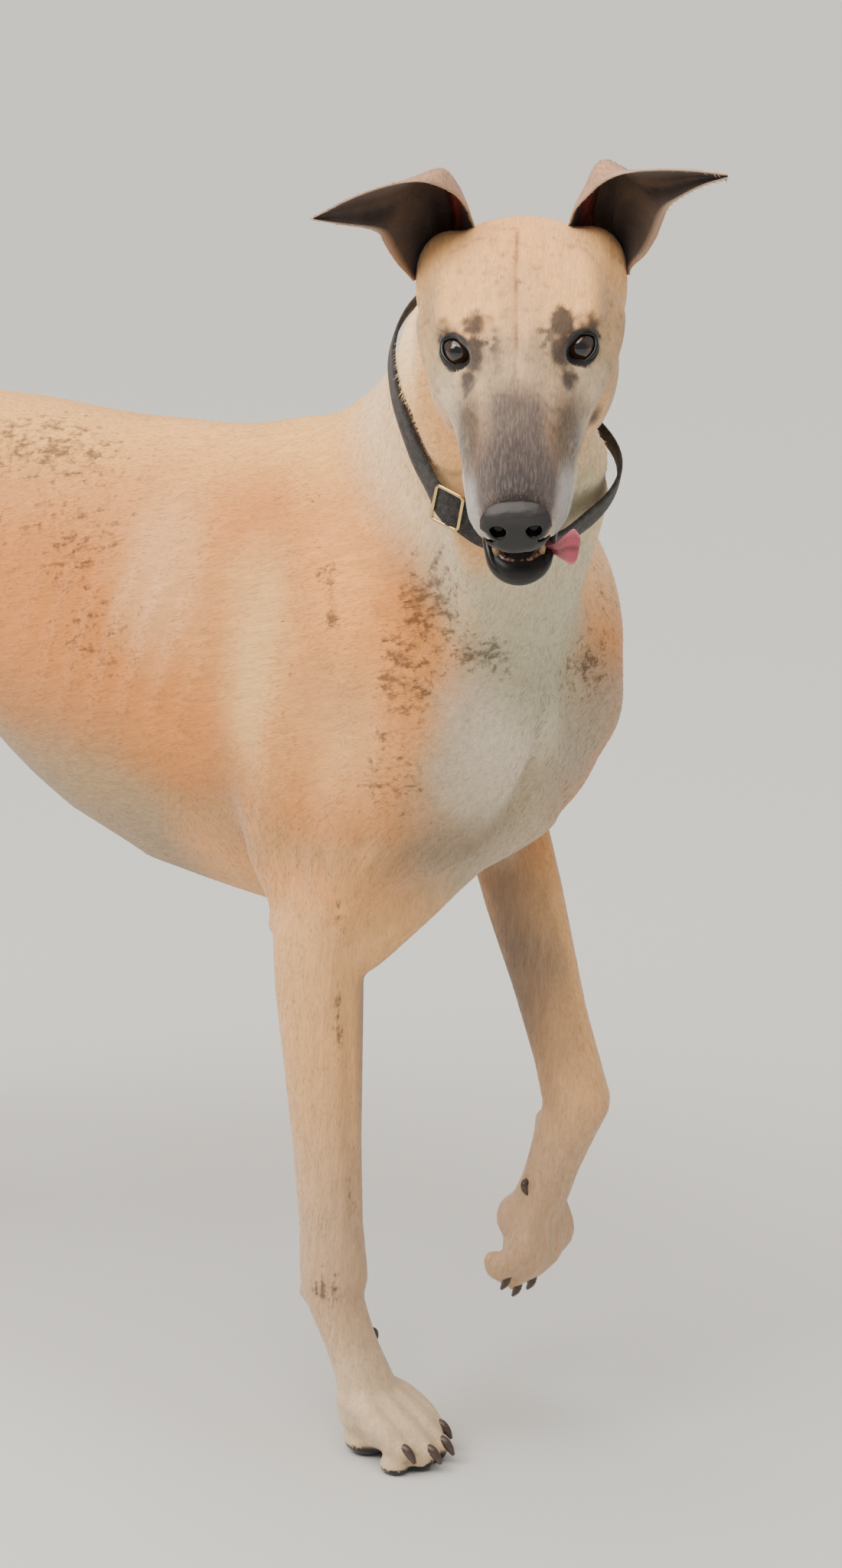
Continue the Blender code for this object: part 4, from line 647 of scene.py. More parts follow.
def coat_look(points, normals):
    """Colour with painted light and shade in it, and the shares of brindle, frost and bare leather at places
    of the coat.
    """
    warp = np.array([lattice_noise(points, 0.055, seed) for seed in (3, 4, 5)]).T - 0.5
    fine = np.array([lattice_noise(points, 0.017, seed) for seed in (6, 7, 8)]).T - 0.5
    grain = lattice_noise(points, 0.0035, 11)
    at = points + 0.030 * warp + 0.010 * fine
    body = body_points(at)
    shares = region_shares(points)
    x, y, z = body.T
    tone = np.tile(colour("#DC8B44")[:3], (len(points), 1))
    tone = mix(tone, "#E49C56", 0.8 * rise(lattice_noise(points, 0.09, 9), 0.35, 0.75))
    # Lighter along the top of the back: painted light from the sky above.
    tone = mix(tone, "#FFC06B", 0.8 * rise(z, 0.63, 0.69))
    tone = patched(tone, body, SIDE_PATCHES, sides=(-1, 1))
    tone = mix(tone, "#FDD3A0", 0.95 * shares[:, NECK])
    # Darker and greyer toward the underside: the grey is the coat's own colour, the darkening is painted
    # shade under the body.
    under = 0.452 + 0.16 * np.clip(-x - 0.05, 0, 0.4)
    trunk = shares[:, TRUNK] + shares[:, FORE_RIGHT:].sum(axis=1) * rise(z, 0.40, 0.44)
    tone = mix(tone, "#C0824A", 0.8 * trunk * rise(under - z, -0.050, 0.020))
    tone = mix(tone, "#B39165", trunk * rise(under - z, 0.000, 0.045))
    tone = mix(tone, "#A88F70", 0.8 * trunk * rise(under - z, 0.040, 0.075))
    legs = shares[:, FORE_RIGHT:].sum(axis=1) * rise(-z, -0.45, -0.36)
    hind = shares[:, HIND_RIGHT:].sum(axis=1)
    tone = mix(tone, "#E6AE72", legs)
    tone = mix(tone, "#E0A56C", 0.7 * hind * rise(z, 0.25, 0.45))
    tone = mix(tone, "#C9A37E", legs * rise(-z, -0.30, -0.16))
    tone = mix(tone, "#D2B591", legs * rise(-z, -0.12, -0.03))
    # Painted shade on the inner sides of the forelegs under the body, chosen by which way the surface faces.
    for side, spot in ((-1, (0.02, -0.045, 0.36)), (1, (0.075, 0.060, 0.35))):
        inner = near(body, spot, (0.07, 0.035, 0.17))
        tone = mix(tone, "#6E6863", 0.9 * inner * rise(side * -1 * normals[:, 1], -0.3, 0.4))
    for side in (-1, 1):
        inner = near(body, (-0.47, side * 0.050, 0.42), (0.14, 0.045, 0.16))
        tone = mix(tone, "#D8BC98", 0.9 * inner * rise(side * -1 * normals[:, 1], -0.2, 0.4))
    # Painted shade on the breast: where it faces forward and down it turns a darker grey cream.
    breast = np.maximum.reduce([
        near(body, (0.130, -0.015, 0.490), (0.090, 0.105, 0.110)),
        near(body, (0.075, 0.000, 0.430), (0.120, 0.085, 0.080)),
        near(body, (0.145, -0.010, 0.560), (0.060, 0.070, 0.070))])
    tone = mix(tone, "#B9A688", 1.4 * breast * rise(normals[:, 0] - normals[:, 2], 0.0, 0.8))
    tone = patched(tone, body, BREAST_PATCHES)
    throat, _ = along_line(body, ((0.150, -0.010, 0.560), (0.175, -0.060, 0.640), (0.215, -0.120, 0.700)))
    tone = mix(tone, "#C3BA9A", 0.9 * rise(-throat, -0.075, -0.035) * (1 - shares[:, HEAD]))
    _, length = along_line(body, TAIL_LINE)
    tone = mix(tone, "#D9BC97", shares[:, TAIL] * rise(length, 0.38, 0.52))
    brindle = np.zeros(len(points))
    jagged = body_points(points + 0.012 * warp + 0.006 * fine)
    for start, end, reach, strength in STREAKS:
        away, _ = along_line(jagged, (start, end))
        brindle = np.maximum(brindle, strength * rise(-away, -reach, -reach * 0.1))
    for centre, radii, strength in BLOTCHES:
        brindle = np.maximum(brindle, strength * near(body, centre, radii) ** 0.7)
    bare = np.zeros(len(points))
    true_body = body_points(points)
    pads = legs * rise(-true_body[:, 2], -0.012, -0.006) * (normals[:, 2] < -0.2)
    bare = np.maximum(bare, pads)
    for teat_x, teat_z in TEATS:
        for side in (-1, 1):
            tone = mix(tone, "#4A342B", 2.5 * near(true_body, (teat_x, side * 0.030, teat_z - 0.003),
                                                  (0.0085, 0.0085, 0.0110)))
    tone, brindle, frost, bare = face_look(points, at, grain, shares[:, HEAD], tone, brindle, bare)
    return tone, np.stack([brindle, frost, bare], axis=1)


def face_look(points, at, grain, face, tone, brindle, bare):
    """Markings of the head: fawn forehead, dark lids, a grizzled muzzle and frosted lips."""
    head = head_points(points + (at - points) * 0.28)
    exact = head_points(points)
    hx, hy, hz = head.T
    ex, ey, ez = exact.T
    tone = mix(tone, "#FFBF79", face)
    tone = patched(tone, head, FOREHEAD_PATCHES, face)
    tone = mix(tone, "#C2A079", face * rise(hx, -0.165, -0.120))
    tone = patched(tone, head, CHEEK_PATCHES, face, (-1, 1))
    bridge = rise(-np.abs(hy), -0.026, -0.010) * rise(hx, -0.125, -0.085) * rise(hz, -0.030, -0.012)
    tone = mix(tone, "#5C4C42", face * bridge)
    tone = mix(tone, "#4C3E38", face * rise(hx, -0.085, -0.040) * rise(hz, -0.028, -0.014))
    for side in (-1, 1):
        flush = rise(grain, 0.40, 0.62) * near(head, (-0.070, side * 0.023, -0.014), (0.045, 0.011, 0.014))
        tone = mix(tone, "#7A4A38", 0.75 * face * flush)
    tone = patched(tone, head, MUZZLE_PATCHES, face)
    tone = patched(tone, head, (("#5C4731", 1.4, (-0.078, 0.0290, -0.018), (0.055, 0.017, 0.022)),), face,
                   (-1, 1))
    chin = face * rise(-hz, 0.030, 0.040) * rise(hx, -0.105, -0.070)
    tone = mix(tone, "#C9C1B2", 0.8 * chin)
    for side in (-1, 1):
        lips = near(head, (-0.034, side * 0.0245, -0.030), (0.036, 0.012, 0.020))
        tone = mix(tone, "#A59C97", face * 1.7 * lips)
        dark = np.maximum.reduce([(right, left)[side > 0] * near(exact, (x, side * y, z), reach)
                                  for right, left, (x, y, z), reach in EYE_SMUDGES])
        streaky = 0.85 * rise(grain, 0.50, 0.66) * near(head, (-0.138, side * 0.0165, 0.009),
                                                        (0.020, 0.009, 0.014))
        tone = mix(tone, "#352B27", face * np.maximum(0.92 * rise(dark + 0.7 * (grain - 0.5), 0.02, 0.95),
                                                      streaky))
        spot = near(head, (-0.1466, side * 0.0403, -0.0512), (0.010, 0.008, 0.010)) * (1 if side > 0 else 0.5)
        tone = mix(tone, "#5A463A", face * spot)
    median = np.exp(-((ey + 0.0008) / 0.0011) ** 2) * rise(hx, -0.235, -0.205) * rise(-hx, 0.110, 0.135)
    median *= 0.45 + 0.55 * rise(lattice_noise(points, 0.009, 13), 0.35, 0.60)
    tone = mix(tone, "#7A5238", 0.75 * median * face * (hz > 0.0))
    brindle = np.maximum(brindle, 0.34 * face * near(head, (-0.205, 0.0, 0.026), (0.050, 0.034, 0.03)) ** 0.5)
    frost = face * np.clip(0.45 * rise(hx, -0.120, -0.080) * rise(-hz, 0.012, 0.030) + 0.10 * rise(hx,
                                                                                                   -0.15,
                                                                                                   -0.10),
                           0, 1)
    for side in (-1, 1):
        local = in_frame(eye_frame(side), points)
        upper, lower = lid_edge(side, local[:, 1])
        inside = np.minimum(upper - local[:, 2], local[:, 2] - lower)
        inside = np.minimum(inside, np.minimum(side * local[:, 1] + LID_OPENING[0] + 0.001,
                                               LID_OPENING[1] + 0.001 - side * local[:, 1]))
        close = (np.linalg.norm(local, axis=1) < 0.021) & (local[:, 0] > 0)
        bare = np.maximum(bare, rise(inside, -0.0034, -0.0014) * close)
    mouth = -0.0478 - 0.03 * (ex + 0.085)
    lip_line = rise(-np.abs(ez - mouth), -0.0065 - 0.02 * np.clip(ex + 0.08, 0, 1), -0.0035)
    bare = np.maximum(bare, lip_line * rise(ex, -0.100, -0.085) * face)
    front_lip = near(exact, (-0.016, 0.0, -0.0565), (0.016, 0.020, 0.0125))
    by_nose = near(exact, (-0.009, 0.0, -0.0240), (0.0145, 0.0215, 0.0185))
    bare = np.maximum(bare, face * rise(np.maximum(front_lip, by_nose), 0.02, 0.15))
    return mix(tone, "#15110F", bare), brindle, frost, bare


# How the hair lies: back from the nose over head and trunk, and down the neck, legs and tail. Each
# region squeezes its measures along its hair, so that streaks of noise follow the coat.
HAIR_RUN = np.array(((-0.96, 0.0, -0.28), (0.0, 0.0, 0.0), (-0.70, 0.28, -0.66), (-0.25, 0.0, -0.97),
                     (-0.10, 0.0, -0.995), (-0.10, 0.0, -0.995), (-0.25, 0.0, -0.97), (-0.25, 0.0, -0.97)))
HAIR_RUN[HEAD] = -np.array(head_frame)[:3, 0]
JOINED_AT = {NECK: (TRUNK, (0.089, -0.02, 0.636)), HEAD: (NECK, (0.155, -0.08, 0.74)),
             TAIL: (TRUNK, (-0.58, 0.0, 0.58)), FORE_RIGHT: (TRUNK, (0.02, -0.07, 0.45)),
             FORE_LEFT: (TRUNK, (0.03, 0.08, 0.45)), HIND_RIGHT: (TRUNK, (-0.48, -0.08, 0.51)),
             HIND_LEFT: (TRUNK, (-0.50, 0.08, 0.51))}


def lie_of(points):
    """Direction of the hair, and coordinates squeezed along it."""
    shares = region_shares(points)
    run = shares @ HAIR_RUN
    squeeze = [np.eye(3) - 0.88 * np.outer(r, r) for r in HAIR_RUN]
    offset = {TRUNK: np.zeros(3)}
    for region in (NECK, HEAD, TAIL, FORE_RIGHT, FORE_LEFT, HIND_RIGHT, HIND_LEFT):
        parent, place = JOINED_AT[region]
        place = np.array(place) + np.array(shift)
        offset[region] = squeeze[parent] @ place + offset[parent] - squeeze[region] @ place
    result = np.zeros_like(points)
    for region in range(len(REGIONS)):
        result += shares[:, region:region + 1] * (points @ squeeze[region].T + offset[region])
    return run / np.linalg.norm(run, axis=1)[:, None], result


def set_attribute(item, name, values, kind="FLOAT_VECTOR"):
    """Store values of the vertices under a name."""
    if kind == "FLOAT_COLOR":
        values = np.hstack([values, np.ones((len(values), 1))])
    layer = item.data.attributes.new(name, kind, "POINT")
    layer.data.foreach_set("color" if kind == "FLOAT_COLOR" else "vector",
                           np.ascontiguousarray(values, dtype=np.float32).ravel())


def dress(item, points, normals):
    """Give a piece of the coat its colours, markings and lie."""
    tone, marks = coat_look(points, normals)
    set_attribute(item, "coat_colour", tone, "FLOAT_COLOR")
    set_attribute(item, "coat_marks", marks)
    set_attribute(item, "coat_lie", lie_of(points)[1])


# Short fur: fine dull hair in flat layers. Hairs are about 0.05 mm thick, which doesn't show, so
# the streaks are drawn about 1 mm wide. Marks of brindle are darker locks among the fawn.
def fur_material(name, roughness, bump_height):
    """The coat, read from the attributes of the piece."""
    material, tree, shader = new_material(name)
    tone = add_node(tree, "ShaderNodeAttribute", attribute_name="coat_colour")
    marks = add_node(tree, "ShaderNodeAttribute", attribute_name="coat_marks")
    lie = add_node(tree, "ShaderNodeAttribute", attribute_name="coat_lie")
    split = add_node(tree, "ShaderNodeSeparateXYZ", [("Vector", marks, "Vector")])
    hair = add_node(tree, "ShaderNodeTexNoise", [("Vector", lie, "Vector")], Scale=900.0, Detail=2.0,
                    Roughness=0.6)
    lock = add_node(tree, "ShaderNodeTexNoise", [("Vector", lie, "Vector")], Scale=260.0, Detail=3.0,
                    Roughness=0.6)
    where = add_node(tree, "ShaderNodeTexCoord")
    cloud = add_node(tree, "ShaderNodeTexNoise", [("Vector", where, "Object")], Scale=150.0, Detail=4.0,
                     Roughness=0.7)
    both = add_node(tree, "ShaderNodeMath", [(0, hair, "Fac"), (1, lock, "Fac")], operation="ADD")
    shade = add_node(tree, "ShaderNodeMapRange", [("Value", both, "Value")],
                     From_Min=0.65, From_Max=1.35, To_Min=0.80, To_Max=1.16)
    furred = add_node(tree, "ShaderNodeVectorMath", [(0, tone, "Color")], operation="SCALE")
    tree.links.new(shade.outputs["Result"], furred.inputs["Scale"])
    streak = add_node(tree, "ShaderNodeMath", [(0, cloud, "Fac")], operation="MULTIPLY_ADD", in1=1.0)
    half = add_node(tree, "ShaderNodeMath", [(0, lock, "Fac")], operation="MULTIPLY", in1=0.9)
    tree.links.new(half.outputs["Value"], streak.inputs[2])
    level = add_node(tree, "ShaderNodeMath", [(0, split, "X"), (2, streak, "Value")],
                     operation="MULTIPLY_ADD", in1=0.45)
    dark = add_node(tree, "ShaderNodeMapRange", [("Value", level, "Value")],
                    From_Min=1.18, From_Max=1.42, To_Min=0.0, To_Max=0.75)
    present = add_node(tree, "ShaderNodeMath", [(0, split, "X")], operation="MULTIPLY", in1=6.0,
                       use_clamp=True)
    dark = add_node(tree, "ShaderNodeMath", [(0, dark, "Result"), (1, present, "Value")],
                    operation="MULTIPLY", use_clamp=True)
    brindled = add_node(tree, "ShaderNodeMix", [(0, dark, "Value"), (6, furred, "Vector")],
                        data_type="RGBA", in7=colour("#3A2E28"))
    speck = add_node(tree, "ShaderNodeMapRange", [("Value", hair, "Fac")], From_Min=0.46, From_Max=0.66,
                     To_Min=0.0, To_Max=0.75)
    white = add_node(tree, "ShaderNodeMath", [(0, speck, "Result"), (1, split, "Y")], operation="MULTIPLY",
                     use_clamp=True)
    frosted = add_node(tree, "ShaderNodeMix", [(0, white, "Value"), (6, brindled, 2)],
                       data_type="RGBA", in7=colour("#CBC1B4"))
    bare = add_node(tree, "ShaderNodeMix", [(0, split, "Z"), (6, frosted, 2)], data_type="RGBA",
                    in7=colour("#14100F"))
    tree.links.new(bare.outputs[2], shader.inputs["Base Color"])
    gloss = add_node(tree, "ShaderNodeMapRange", [("Value", split, "Z")], From_Min=0.0, From_Max=1.0,
                     To_Min=roughness, To_Max=0.38)
    tree.links.new(gloss.outputs["Result"], shader.inputs["Roughness"])
    furry = add_node(tree, "ShaderNodeMath", [(1, split, "Z")], operation="SUBTRACT", in0=1.0)
    height = add_node(tree, "ShaderNodeMath", [(0, both, "Value"), (1, furry, "Value")], operation="MULTIPLY")
    relief = add_node(tree, "ShaderNodeBump", [("Height", height, "Value")], Strength=0.5,
                      Distance=bump_height)
    tree.links.new(relief.outputs["Normal"], shader.inputs["Normal"])
    shader.inputs["Specular IOR Level"].default_value = 0.25
    shader.inputs["Sheen Weight"].default_value = 0.25
    shader.inputs["Sheen Roughness"].default_value = 0.45
    return material


short_fur = fur_material("short_flat_fur", 0.70, 0.0007)
dress(skin, places_of(skin), normals_of(skin))
skin.data.materials.append(short_fur)
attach(skin, "root")
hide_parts(*FLESH)


# The ears are thin cups of skin and gristle, nearly bare and dark inside, with short tan hair on
# their backs. They stand up from the skull and fold outward, so that the tips point sideways.

# Three lines run up each ear to its tip: its inner edge, the middle of its back and its outer edge.
EAR_ROWS = {
    -1: (((-0.236, 0.025, 0.017), (-0.236, 0.027, 0.025), (-0.232, 0.030, 0.037), (-0.226, 0.035, 0.049),
          (-0.219, 0.044, 0.060), (-0.213, 0.055, 0.067), (-0.208, 0.072, 0.068),
          (-0.206, 0.092, 0.062), (-0.205, 0.114, 0.051)),
         ((-0.262, 0.042, -0.015), (-0.268, 0.043, -0.010), (-0.270, 0.042, 0.006), (-0.262, 0.044, 0.029),
          (-0.248, 0.048, 0.048), (-0.232, 0.061, 0.052), (-0.220, 0.076, 0.051),
          (-0.212, 0.094, 0.052), (-0.206, 0.115, 0.050)),
         ((-0.222, 0.062, -0.005), (-0.220, 0.065, 0.001), (-0.213, 0.069, 0.012), (-0.208, 0.073, 0.024),
          (-0.206, 0.076, 0.033), (-0.205, 0.078, 0.039), (-0.205, 0.085, 0.043),
          (-0.205, 0.099, 0.046), (-0.205, 0.114, 0.050))),
    1: (((-0.236, 0.026, 0.016), (-0.236, 0.029, 0.021), (-0.232, 0.033, 0.033), (-0.226, 0.040, 0.045),
         (-0.219, 0.049, 0.058), (-0.213, 0.060, 0.067), (-0.208, 0.076, 0.072),
         (-0.206, 0.098, 0.072), (-0.205, 0.118, 0.069)),
        ((-0.262, 0.041, -0.019), (-0.268, 0.042, -0.013), (-0.270, 0.043, 0.005), (-0.262, 0.047, 0.027),
         (-0.248, 0.053, 0.051), (-0.232, 0.066, 0.053), (-0.220, 0.081, 0.057),
         (-0.212, 0.100, 0.064), (-0.206, 0.119, 0.068)),
        ((-0.222, 0.062, -0.006), (-0.220, 0.064, 0.001), (-0.213, 0.072, 0.014), (-0.208, 0.078, 0.028),
         (-0.206, 0.082, 0.040), (-0.205, 0.085, 0.049), (-0.205, 0.091, 0.055),
         (-0.205, 0.104, 0.063), (-0.205, 0.118, 0.068))),
}
# Folds of the cup's inside: height, place across, lean, width, and where each starts and ends.
EAR_FOLDS = ((0.0042, 0.62, 0.25, 0.055, (0.10, 0.25), (-0.62, -0.40)),
             (0.0028, 0.80, 0.15, 0.045, (0.12, 0.25), (-0.55, -0.35)),
             (0.0022, 0.30, -0.10, 0.05, (0.05, 0.15), (-0.50, -0.30)))
EAR_ACROSS = 44
EAR_STEPS = 12


def curve_through(stations, steps):
    """A smooth curve through the stations, with steps places to each span."""
    rows = np.array(stations, float)
    padded = np.vstack([2 * rows[0] - rows[1], rows, 2 * rows[-1] - rows[-2]])
    result = []
    for index in range(1, len(padded) - 2):
        before, start, end, after = padded[index - 1:index + 3]
        for step in range(steps):
            t = step / steps
            bend = 2 * before - 5 * start + 4 * end - after
            twist = 3 * start - before - 3 * end + after
            result.append(0.5 * (2 * start + (end - before) * t + bend * t ** 2 + twist * t ** 3))
    result.append(rows[-1])
    return np.array(result)


def new_piece(name, points, faces):
    """A mesh object from points of the part and faces."""
    mesh = bpy.data.meshes.new(name)
    mesh.from_pydata([tuple(point) for point in points], [], [tuple(face) for face in faces])
    shape = bmesh.new()
    shape.from_mesh(mesh)
    bmesh.ops.remove_doubles(shape, verts=shape.verts, dist=0.000001)
    bmesh.ops.recalc_face_normals(shape, faces=shape.faces)
    shape.to_mesh(mesh)
    shape.free()
    item = bpy.data.objects.new(name, mesh)
    bpy.context.scene.collection.objects.link(item)
    make_active(item)
    bpy.ops.object.shade_smooth()
    return item


def build_ear(name, side):
    """One ear as a sheet with an inner and an outer face."""
    inner, middle, outer = [curve_through([(x, side * y, z) for x, y, z in rows], EAR_STEPS)
                            for rows in EAR_ROWS[side]]
    t = np.linspace(0, 1, EAR_ACROSS + 1)[None, :, None]
    pull = 2 * middle - (inner + outer) / 2
    grid = inner[:, None] * (1 - t) ** 2 + pull[:, None] * 2 * t * (1 - t) + outer[:, None] * t ** 2
    normal = np.cross(np.gradient(grid, axis=0), np.gradient(grid, axis=1))
    normal /= np.linalg.norm(normal, axis=2)[:, :, None]
    if np.dot(normal.mean(axis=(0, 1)), grid.mean(axis=(0, 1)) - middle.mean(axis=0)) > 0:
        normal = -normal
    rows, width = len(grid), EAR_ACROSS + 1
    up = np.linspace(0, 1, rows)[:, None]
    over = np.linspace(0, 1, width)[None, :]
    edge = np.sin(np.linspace(0, math.pi, width)) ** 0.35
    tip = np.clip((1 - up) * 8, 0, 1) ** 0.5
    thick = 0.0006 + 0.0015 * edge[None, :] * tip
    fold = sum(height * np.exp(-((over - place + lean * up) / wide) ** 2) * rise(up, *start) * rise(-up, *end)
               for height, place, lean, wide, start, end in EAR_FOLDS)
    near_face = grid - normal * fold[:, :, None]
    far_face = grid + normal * thick[:, :, None]
    points = np.concatenate([near_face.reshape(-1, 3), far_face.reshape(-1, 3)])
    shift_by = rows * width
    faces = []
    for row in range(rows - 1):
        for column in range(width - 1):
            a = row * width + column
            faces.append((a, a + 1, a + width + 1, a + width))
            faces.append((shift_by + a, shift_by + a + width, shift_by + a + width + 1, shift_by + a + 1))
        for a in (row * width, row * width + width - 1):
            faces.append((a, a + width, shift_by + a + width, shift_by + a))
    for column in range(width - 1):
        for a in (column, (rows - 1) * width + column):
            faces.append((a, shift_by + a, shift_by + a + 1, a + 1))
    points = out_of_frame(head_frame, points)
    inside = np.concatenate([np.ones(rows * width), np.zeros(rows * width)])
    canal = np.exp(-((over - 0.34) / 0.13) ** 2) * np.exp(-((up - 0.27) / 0.12) ** 2)
    deep = np.concatenate([(canal * np.ones((rows, width))).ravel()] * 2)
    rim = np.concatenate([(np.clip(np.minimum(over, 1 - over) / 0.05, 0,
                                   1) * np.ones((rows, 1))).ravel()] * 2)
    hold = np.stack([inside, deep, rim], axis=1)
    mesh = bpy.data.meshes.new(name)
    mesh.from_pydata([tuple(point) for point in points], [], faces)
    item = bpy.data.objects.new(name, mesh)
    bpy.context.scene.collection.objects.link(item)
    set_attribute(item, "ear_marks", hold)
    shape = bmesh.new()
    shape.from_mesh(mesh)
    bmesh.ops.recalc_face_normals(shape, faces=shape.faces)
    shape.to_mesh(mesh)
    shape.free()
    make_active(item)
    bpy.ops.object.shade_smooth()
    set_attribute(item, "coat_lie", lie_of(places_of(item))[1])
    return item


# Ear skin: dark and nearly bare inside, reddish deep down, tan velvet hair behind and a pale rim.
ear_skin, tree, shader = new_material("ear_skin_velvet")
marks = add_node(tree, "ShaderNodeAttribute", attribute_name="ear_marks")
lie = add_node(tree, "ShaderNodeAttribute", attribute_name="coat_lie")
split = add_node(tree, "ShaderNodeSeparateXYZ", [("Vector", marks, "Vector")])
down = add_node(tree, "ShaderNodeTexNoise", [("Vector", lie, "Vector")], Scale=700.0, Detail=3.0)
patch = add_node(tree, "ShaderNodeTexNoise", [("Vector", lie, "Vector")], Scale=120.0, Detail=3.0)
tan = add_node(tree, "ShaderNodeMix", [(0, patch, "Fac")], data_type="RGBA", in6=colour("#B07F5C"),
               in7=colour("#D6A784"))
warm = add_node(tree, "ShaderNodeMath", [(0, patch, "Fac")], operation="MULTIPLY", in1=1.7)
deep = add_node(tree, "ShaderNodeMath", [(0, split, "Y"), (1, warm, "Value")], operation="MULTIPLY",
                use_clamp=True)
brown = add_node(tree, "ShaderNodeMix", [(0, patch, "Fac")], data_type="RGBA", in6=colour("#17100D"),
                 in7=colour("#4A382E"))
lining = add_node(tree, "ShaderNodeMix", [(0, deep, "Value"), (6, brown, 2)], data_type="RGBA",
                  in7=colour("#A8382A"))
sides = add_node(tree, "ShaderNodeMix", [(0, split, "X"), (6, tan, 2), (7, lining, 2)], data_type="RGBA")
edge = add_node(tree, "ShaderNodeMapRange", [("Value", split, "Z")], From_Min=0.15, From_Max=0.9,
                To_Min=0.75, To_Max=0.0)
rimmed = add_node(tree, "ShaderNodeMix", [(0, edge, "Result"), (6, sides, 2)], data_type="RGBA",
                  in7=colour("#B89A80"))
tree.links.new(rimmed.outputs[2], shader.inputs["Base Color"])
relief = add_node(tree, "ShaderNodeBump", [("Height", down, "Fac")], Strength=0.5, Distance=0.0008)
tree.links.new(relief.outputs["Normal"], shader.inputs["Normal"])
shader.inputs["Roughness"].default_value = 0.62
shader.inputs["Sheen Weight"].default_value = 0.15
ears = {}
for side, name in ((-1, "ear_skin_right"), (1, "ear_skin_left")):
    ear = build_ear(name, side)
    ears[side] = ear
    ear.data.materials.append(ear_skin)
    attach(ear, "root")
    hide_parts("ear_right" if side < 0 else "ear_left")


# Each eye is a wet ball with a bulging clear front over a dark brown iris and a wide pupil. Only
# slivers of brownish white show in its corners. Black moist rims edge the lids.

def build_eye(name, side):
    """A ball with the bulge of the cornea, as finely divided as its round outline needs."""
    bpy.ops.object.select_all(action="DESELECT")
    bpy.ops.mesh.primitive_uv_sphere_add(segments=64, ring_count=40, radius=EYE_RADIUS)
    ball = bpy.context.object
    ball.name = name
    ball.data.transform(Matrix.Rotation(math.radians(90), 4, "Y"))
    local = places_of(ball)
    ring = np.hypot(local[:, 1], local[:, 2]) / EYE_RADIUS
    local[:, 0] += np.where(local[:, 0] > 0, 0.0007 * rise(-ring, -0.72, -0.30), 0)
    set_places(ball, local)
    set_attribute(ball, "eye_place", local / EYE_RADIUS)
    ball.data.transform(eye_frame(side))
    make_active(ball)
    bpy.ops.object.shade_smooth()
    return ball


# A living eye is as smooth as polished glass: a dark ring, brown fibres, and a wet film over all.
wet_eye, tree, shader = new_material("wet_brown_eye")
where = add_node(tree, "ShaderNodeAttribute", attribute_name="eye_place")
split = add_node(tree, "ShaderNodeSeparateXYZ", [("Vector", where, "Vector")])
flat = add_node(tree, "ShaderNodeCombineXYZ", [("Y", split, "Y"), ("Z", split, "Z")])
ring = add_node(tree, "ShaderNodeVectorMath", [(0, flat, "Vector")], operation="LENGTH")
fibres = add_node(tree, "ShaderNodeTexNoise", [("Vector", where, "Vector")], Scale=9.0, Detail=4.0)
ragged = add_node(tree, "ShaderNodeMath", [(0, fibres, "Fac"), (2, ring, "Value")],
                  operation="MULTIPLY_ADD", in1=0.06)
iris = add_node(tree, "ShaderNodeValToRGB", [("Fac", ragged, "Value")])
stops = ((0.0, "#050403"), (0.30, "#060403"), (0.36, "#2C1910"), (0.55, "#3D2416"), (0.66, "#24150E"),
         (0.73, "#0B0706"), (0.80, "#2E231E"), (1.0, "#54443B"))
iris.color_ramp.elements[0].color = colour(stops[0][1])
iris.color_ramp.elements[1].position = 1.0
iris.color_ramp.elements[1].color = colour(stops[-1][1])
for position, text in stops[1:-1]:
    iris.color_ramp.elements.new(position).color = colour(text)
tree.links.new(iris.outputs["Color"], shader.inputs["Base Color"])
shader.inputs["Roughness"].default_value = 0.07
shader.inputs["Coat Weight"].default_value = 1.0
shader.inputs["Coat Roughness"].default_value = 0.02
shader.inputs["IOR"].default_value = 1.38

# Bare black skin that tears or spit keep moist, so that it shows soft highlights.
lid_rim, tree, shader = new_material("moist_black_lid")
shader.inputs["Base Color"].default_value = colour("#0D0A09")
shader.inputs["Roughness"].default_value = 0.30
grain = add_node(tree, "ShaderNodeTexNoise", [("Vector", add_node(tree, "ShaderNodeTexCoord"), "Object")],
                 Scale=1500.0)
relief = add_node(tree, "ShaderNodeBump", [("Height", grain, "Fac")], Strength=0.3, Distance=0.0003)
tree.links.new(relief.outputs["Normal"], shader.inputs["Normal"])


def swept(name, stations, widths, heights, up, sides=12, steps=4):
    """A closed rounded strip along stations, with its width and height at each."""
    rows = curve_through([(*p, w, h) for p, w, h in zip(stations, widths, heights)], steps)
    points, faces = [], []
    for index, row in enumerate(rows):
        before, after = rows[max(index - 1, 0)], rows[min(index + 1, len(rows) - 1)]
        run = Vector(after[:3] - before[:3]).normalized()
        out = Vector(up)
        across = run.cross(out).normalized()
        out = across.cross(run)
        for k in range(sides):
            angle = 2 * math.pi * k / sides
            off = across * row[3] * math.cos(angle) + out * row[4] * math.sin(angle)
            points.append(Vector(row[:3]) + off)
    count = len(rows)
    for i in range(count - 1):
        for k in range(sides):
            a, b = i * sides + k, i * sides + (k + 1) % sides
            faces.append((a, b, b + sides, a + sides))
    faces.append(tuple(range(sides)))
    faces.append(tuple(range((count - 1) * sides, count * sides)))
    return new_piece(name, points, faces)


def ring_tube(name, loop, outward, wide, high, sides=10):
    """A closed bead along a loop of places, wide along the surface and high off it."""
    count = len(loop)
    points, faces = [], []
    for i, here in enumerate(loop):
        run = (loop[(i + 1) % count] - loop[i - 1]).normalized()
        across = run.cross(outward[i]).normalized()
        out = across.cross(run)
        for k in range(sides):
            angle = 2 * math.pi * k / sides
            points.append(here + across * wide * math.cos(angle) + out * high * math.sin(angle))
        j = (i + 1) % count
        for k in range(sides):
            n = (k + 1) % sides
            faces.append((i * sides + k, i * sides + n, j * sides + n, j * sides + k))
    return new_piece(name, points, faces)


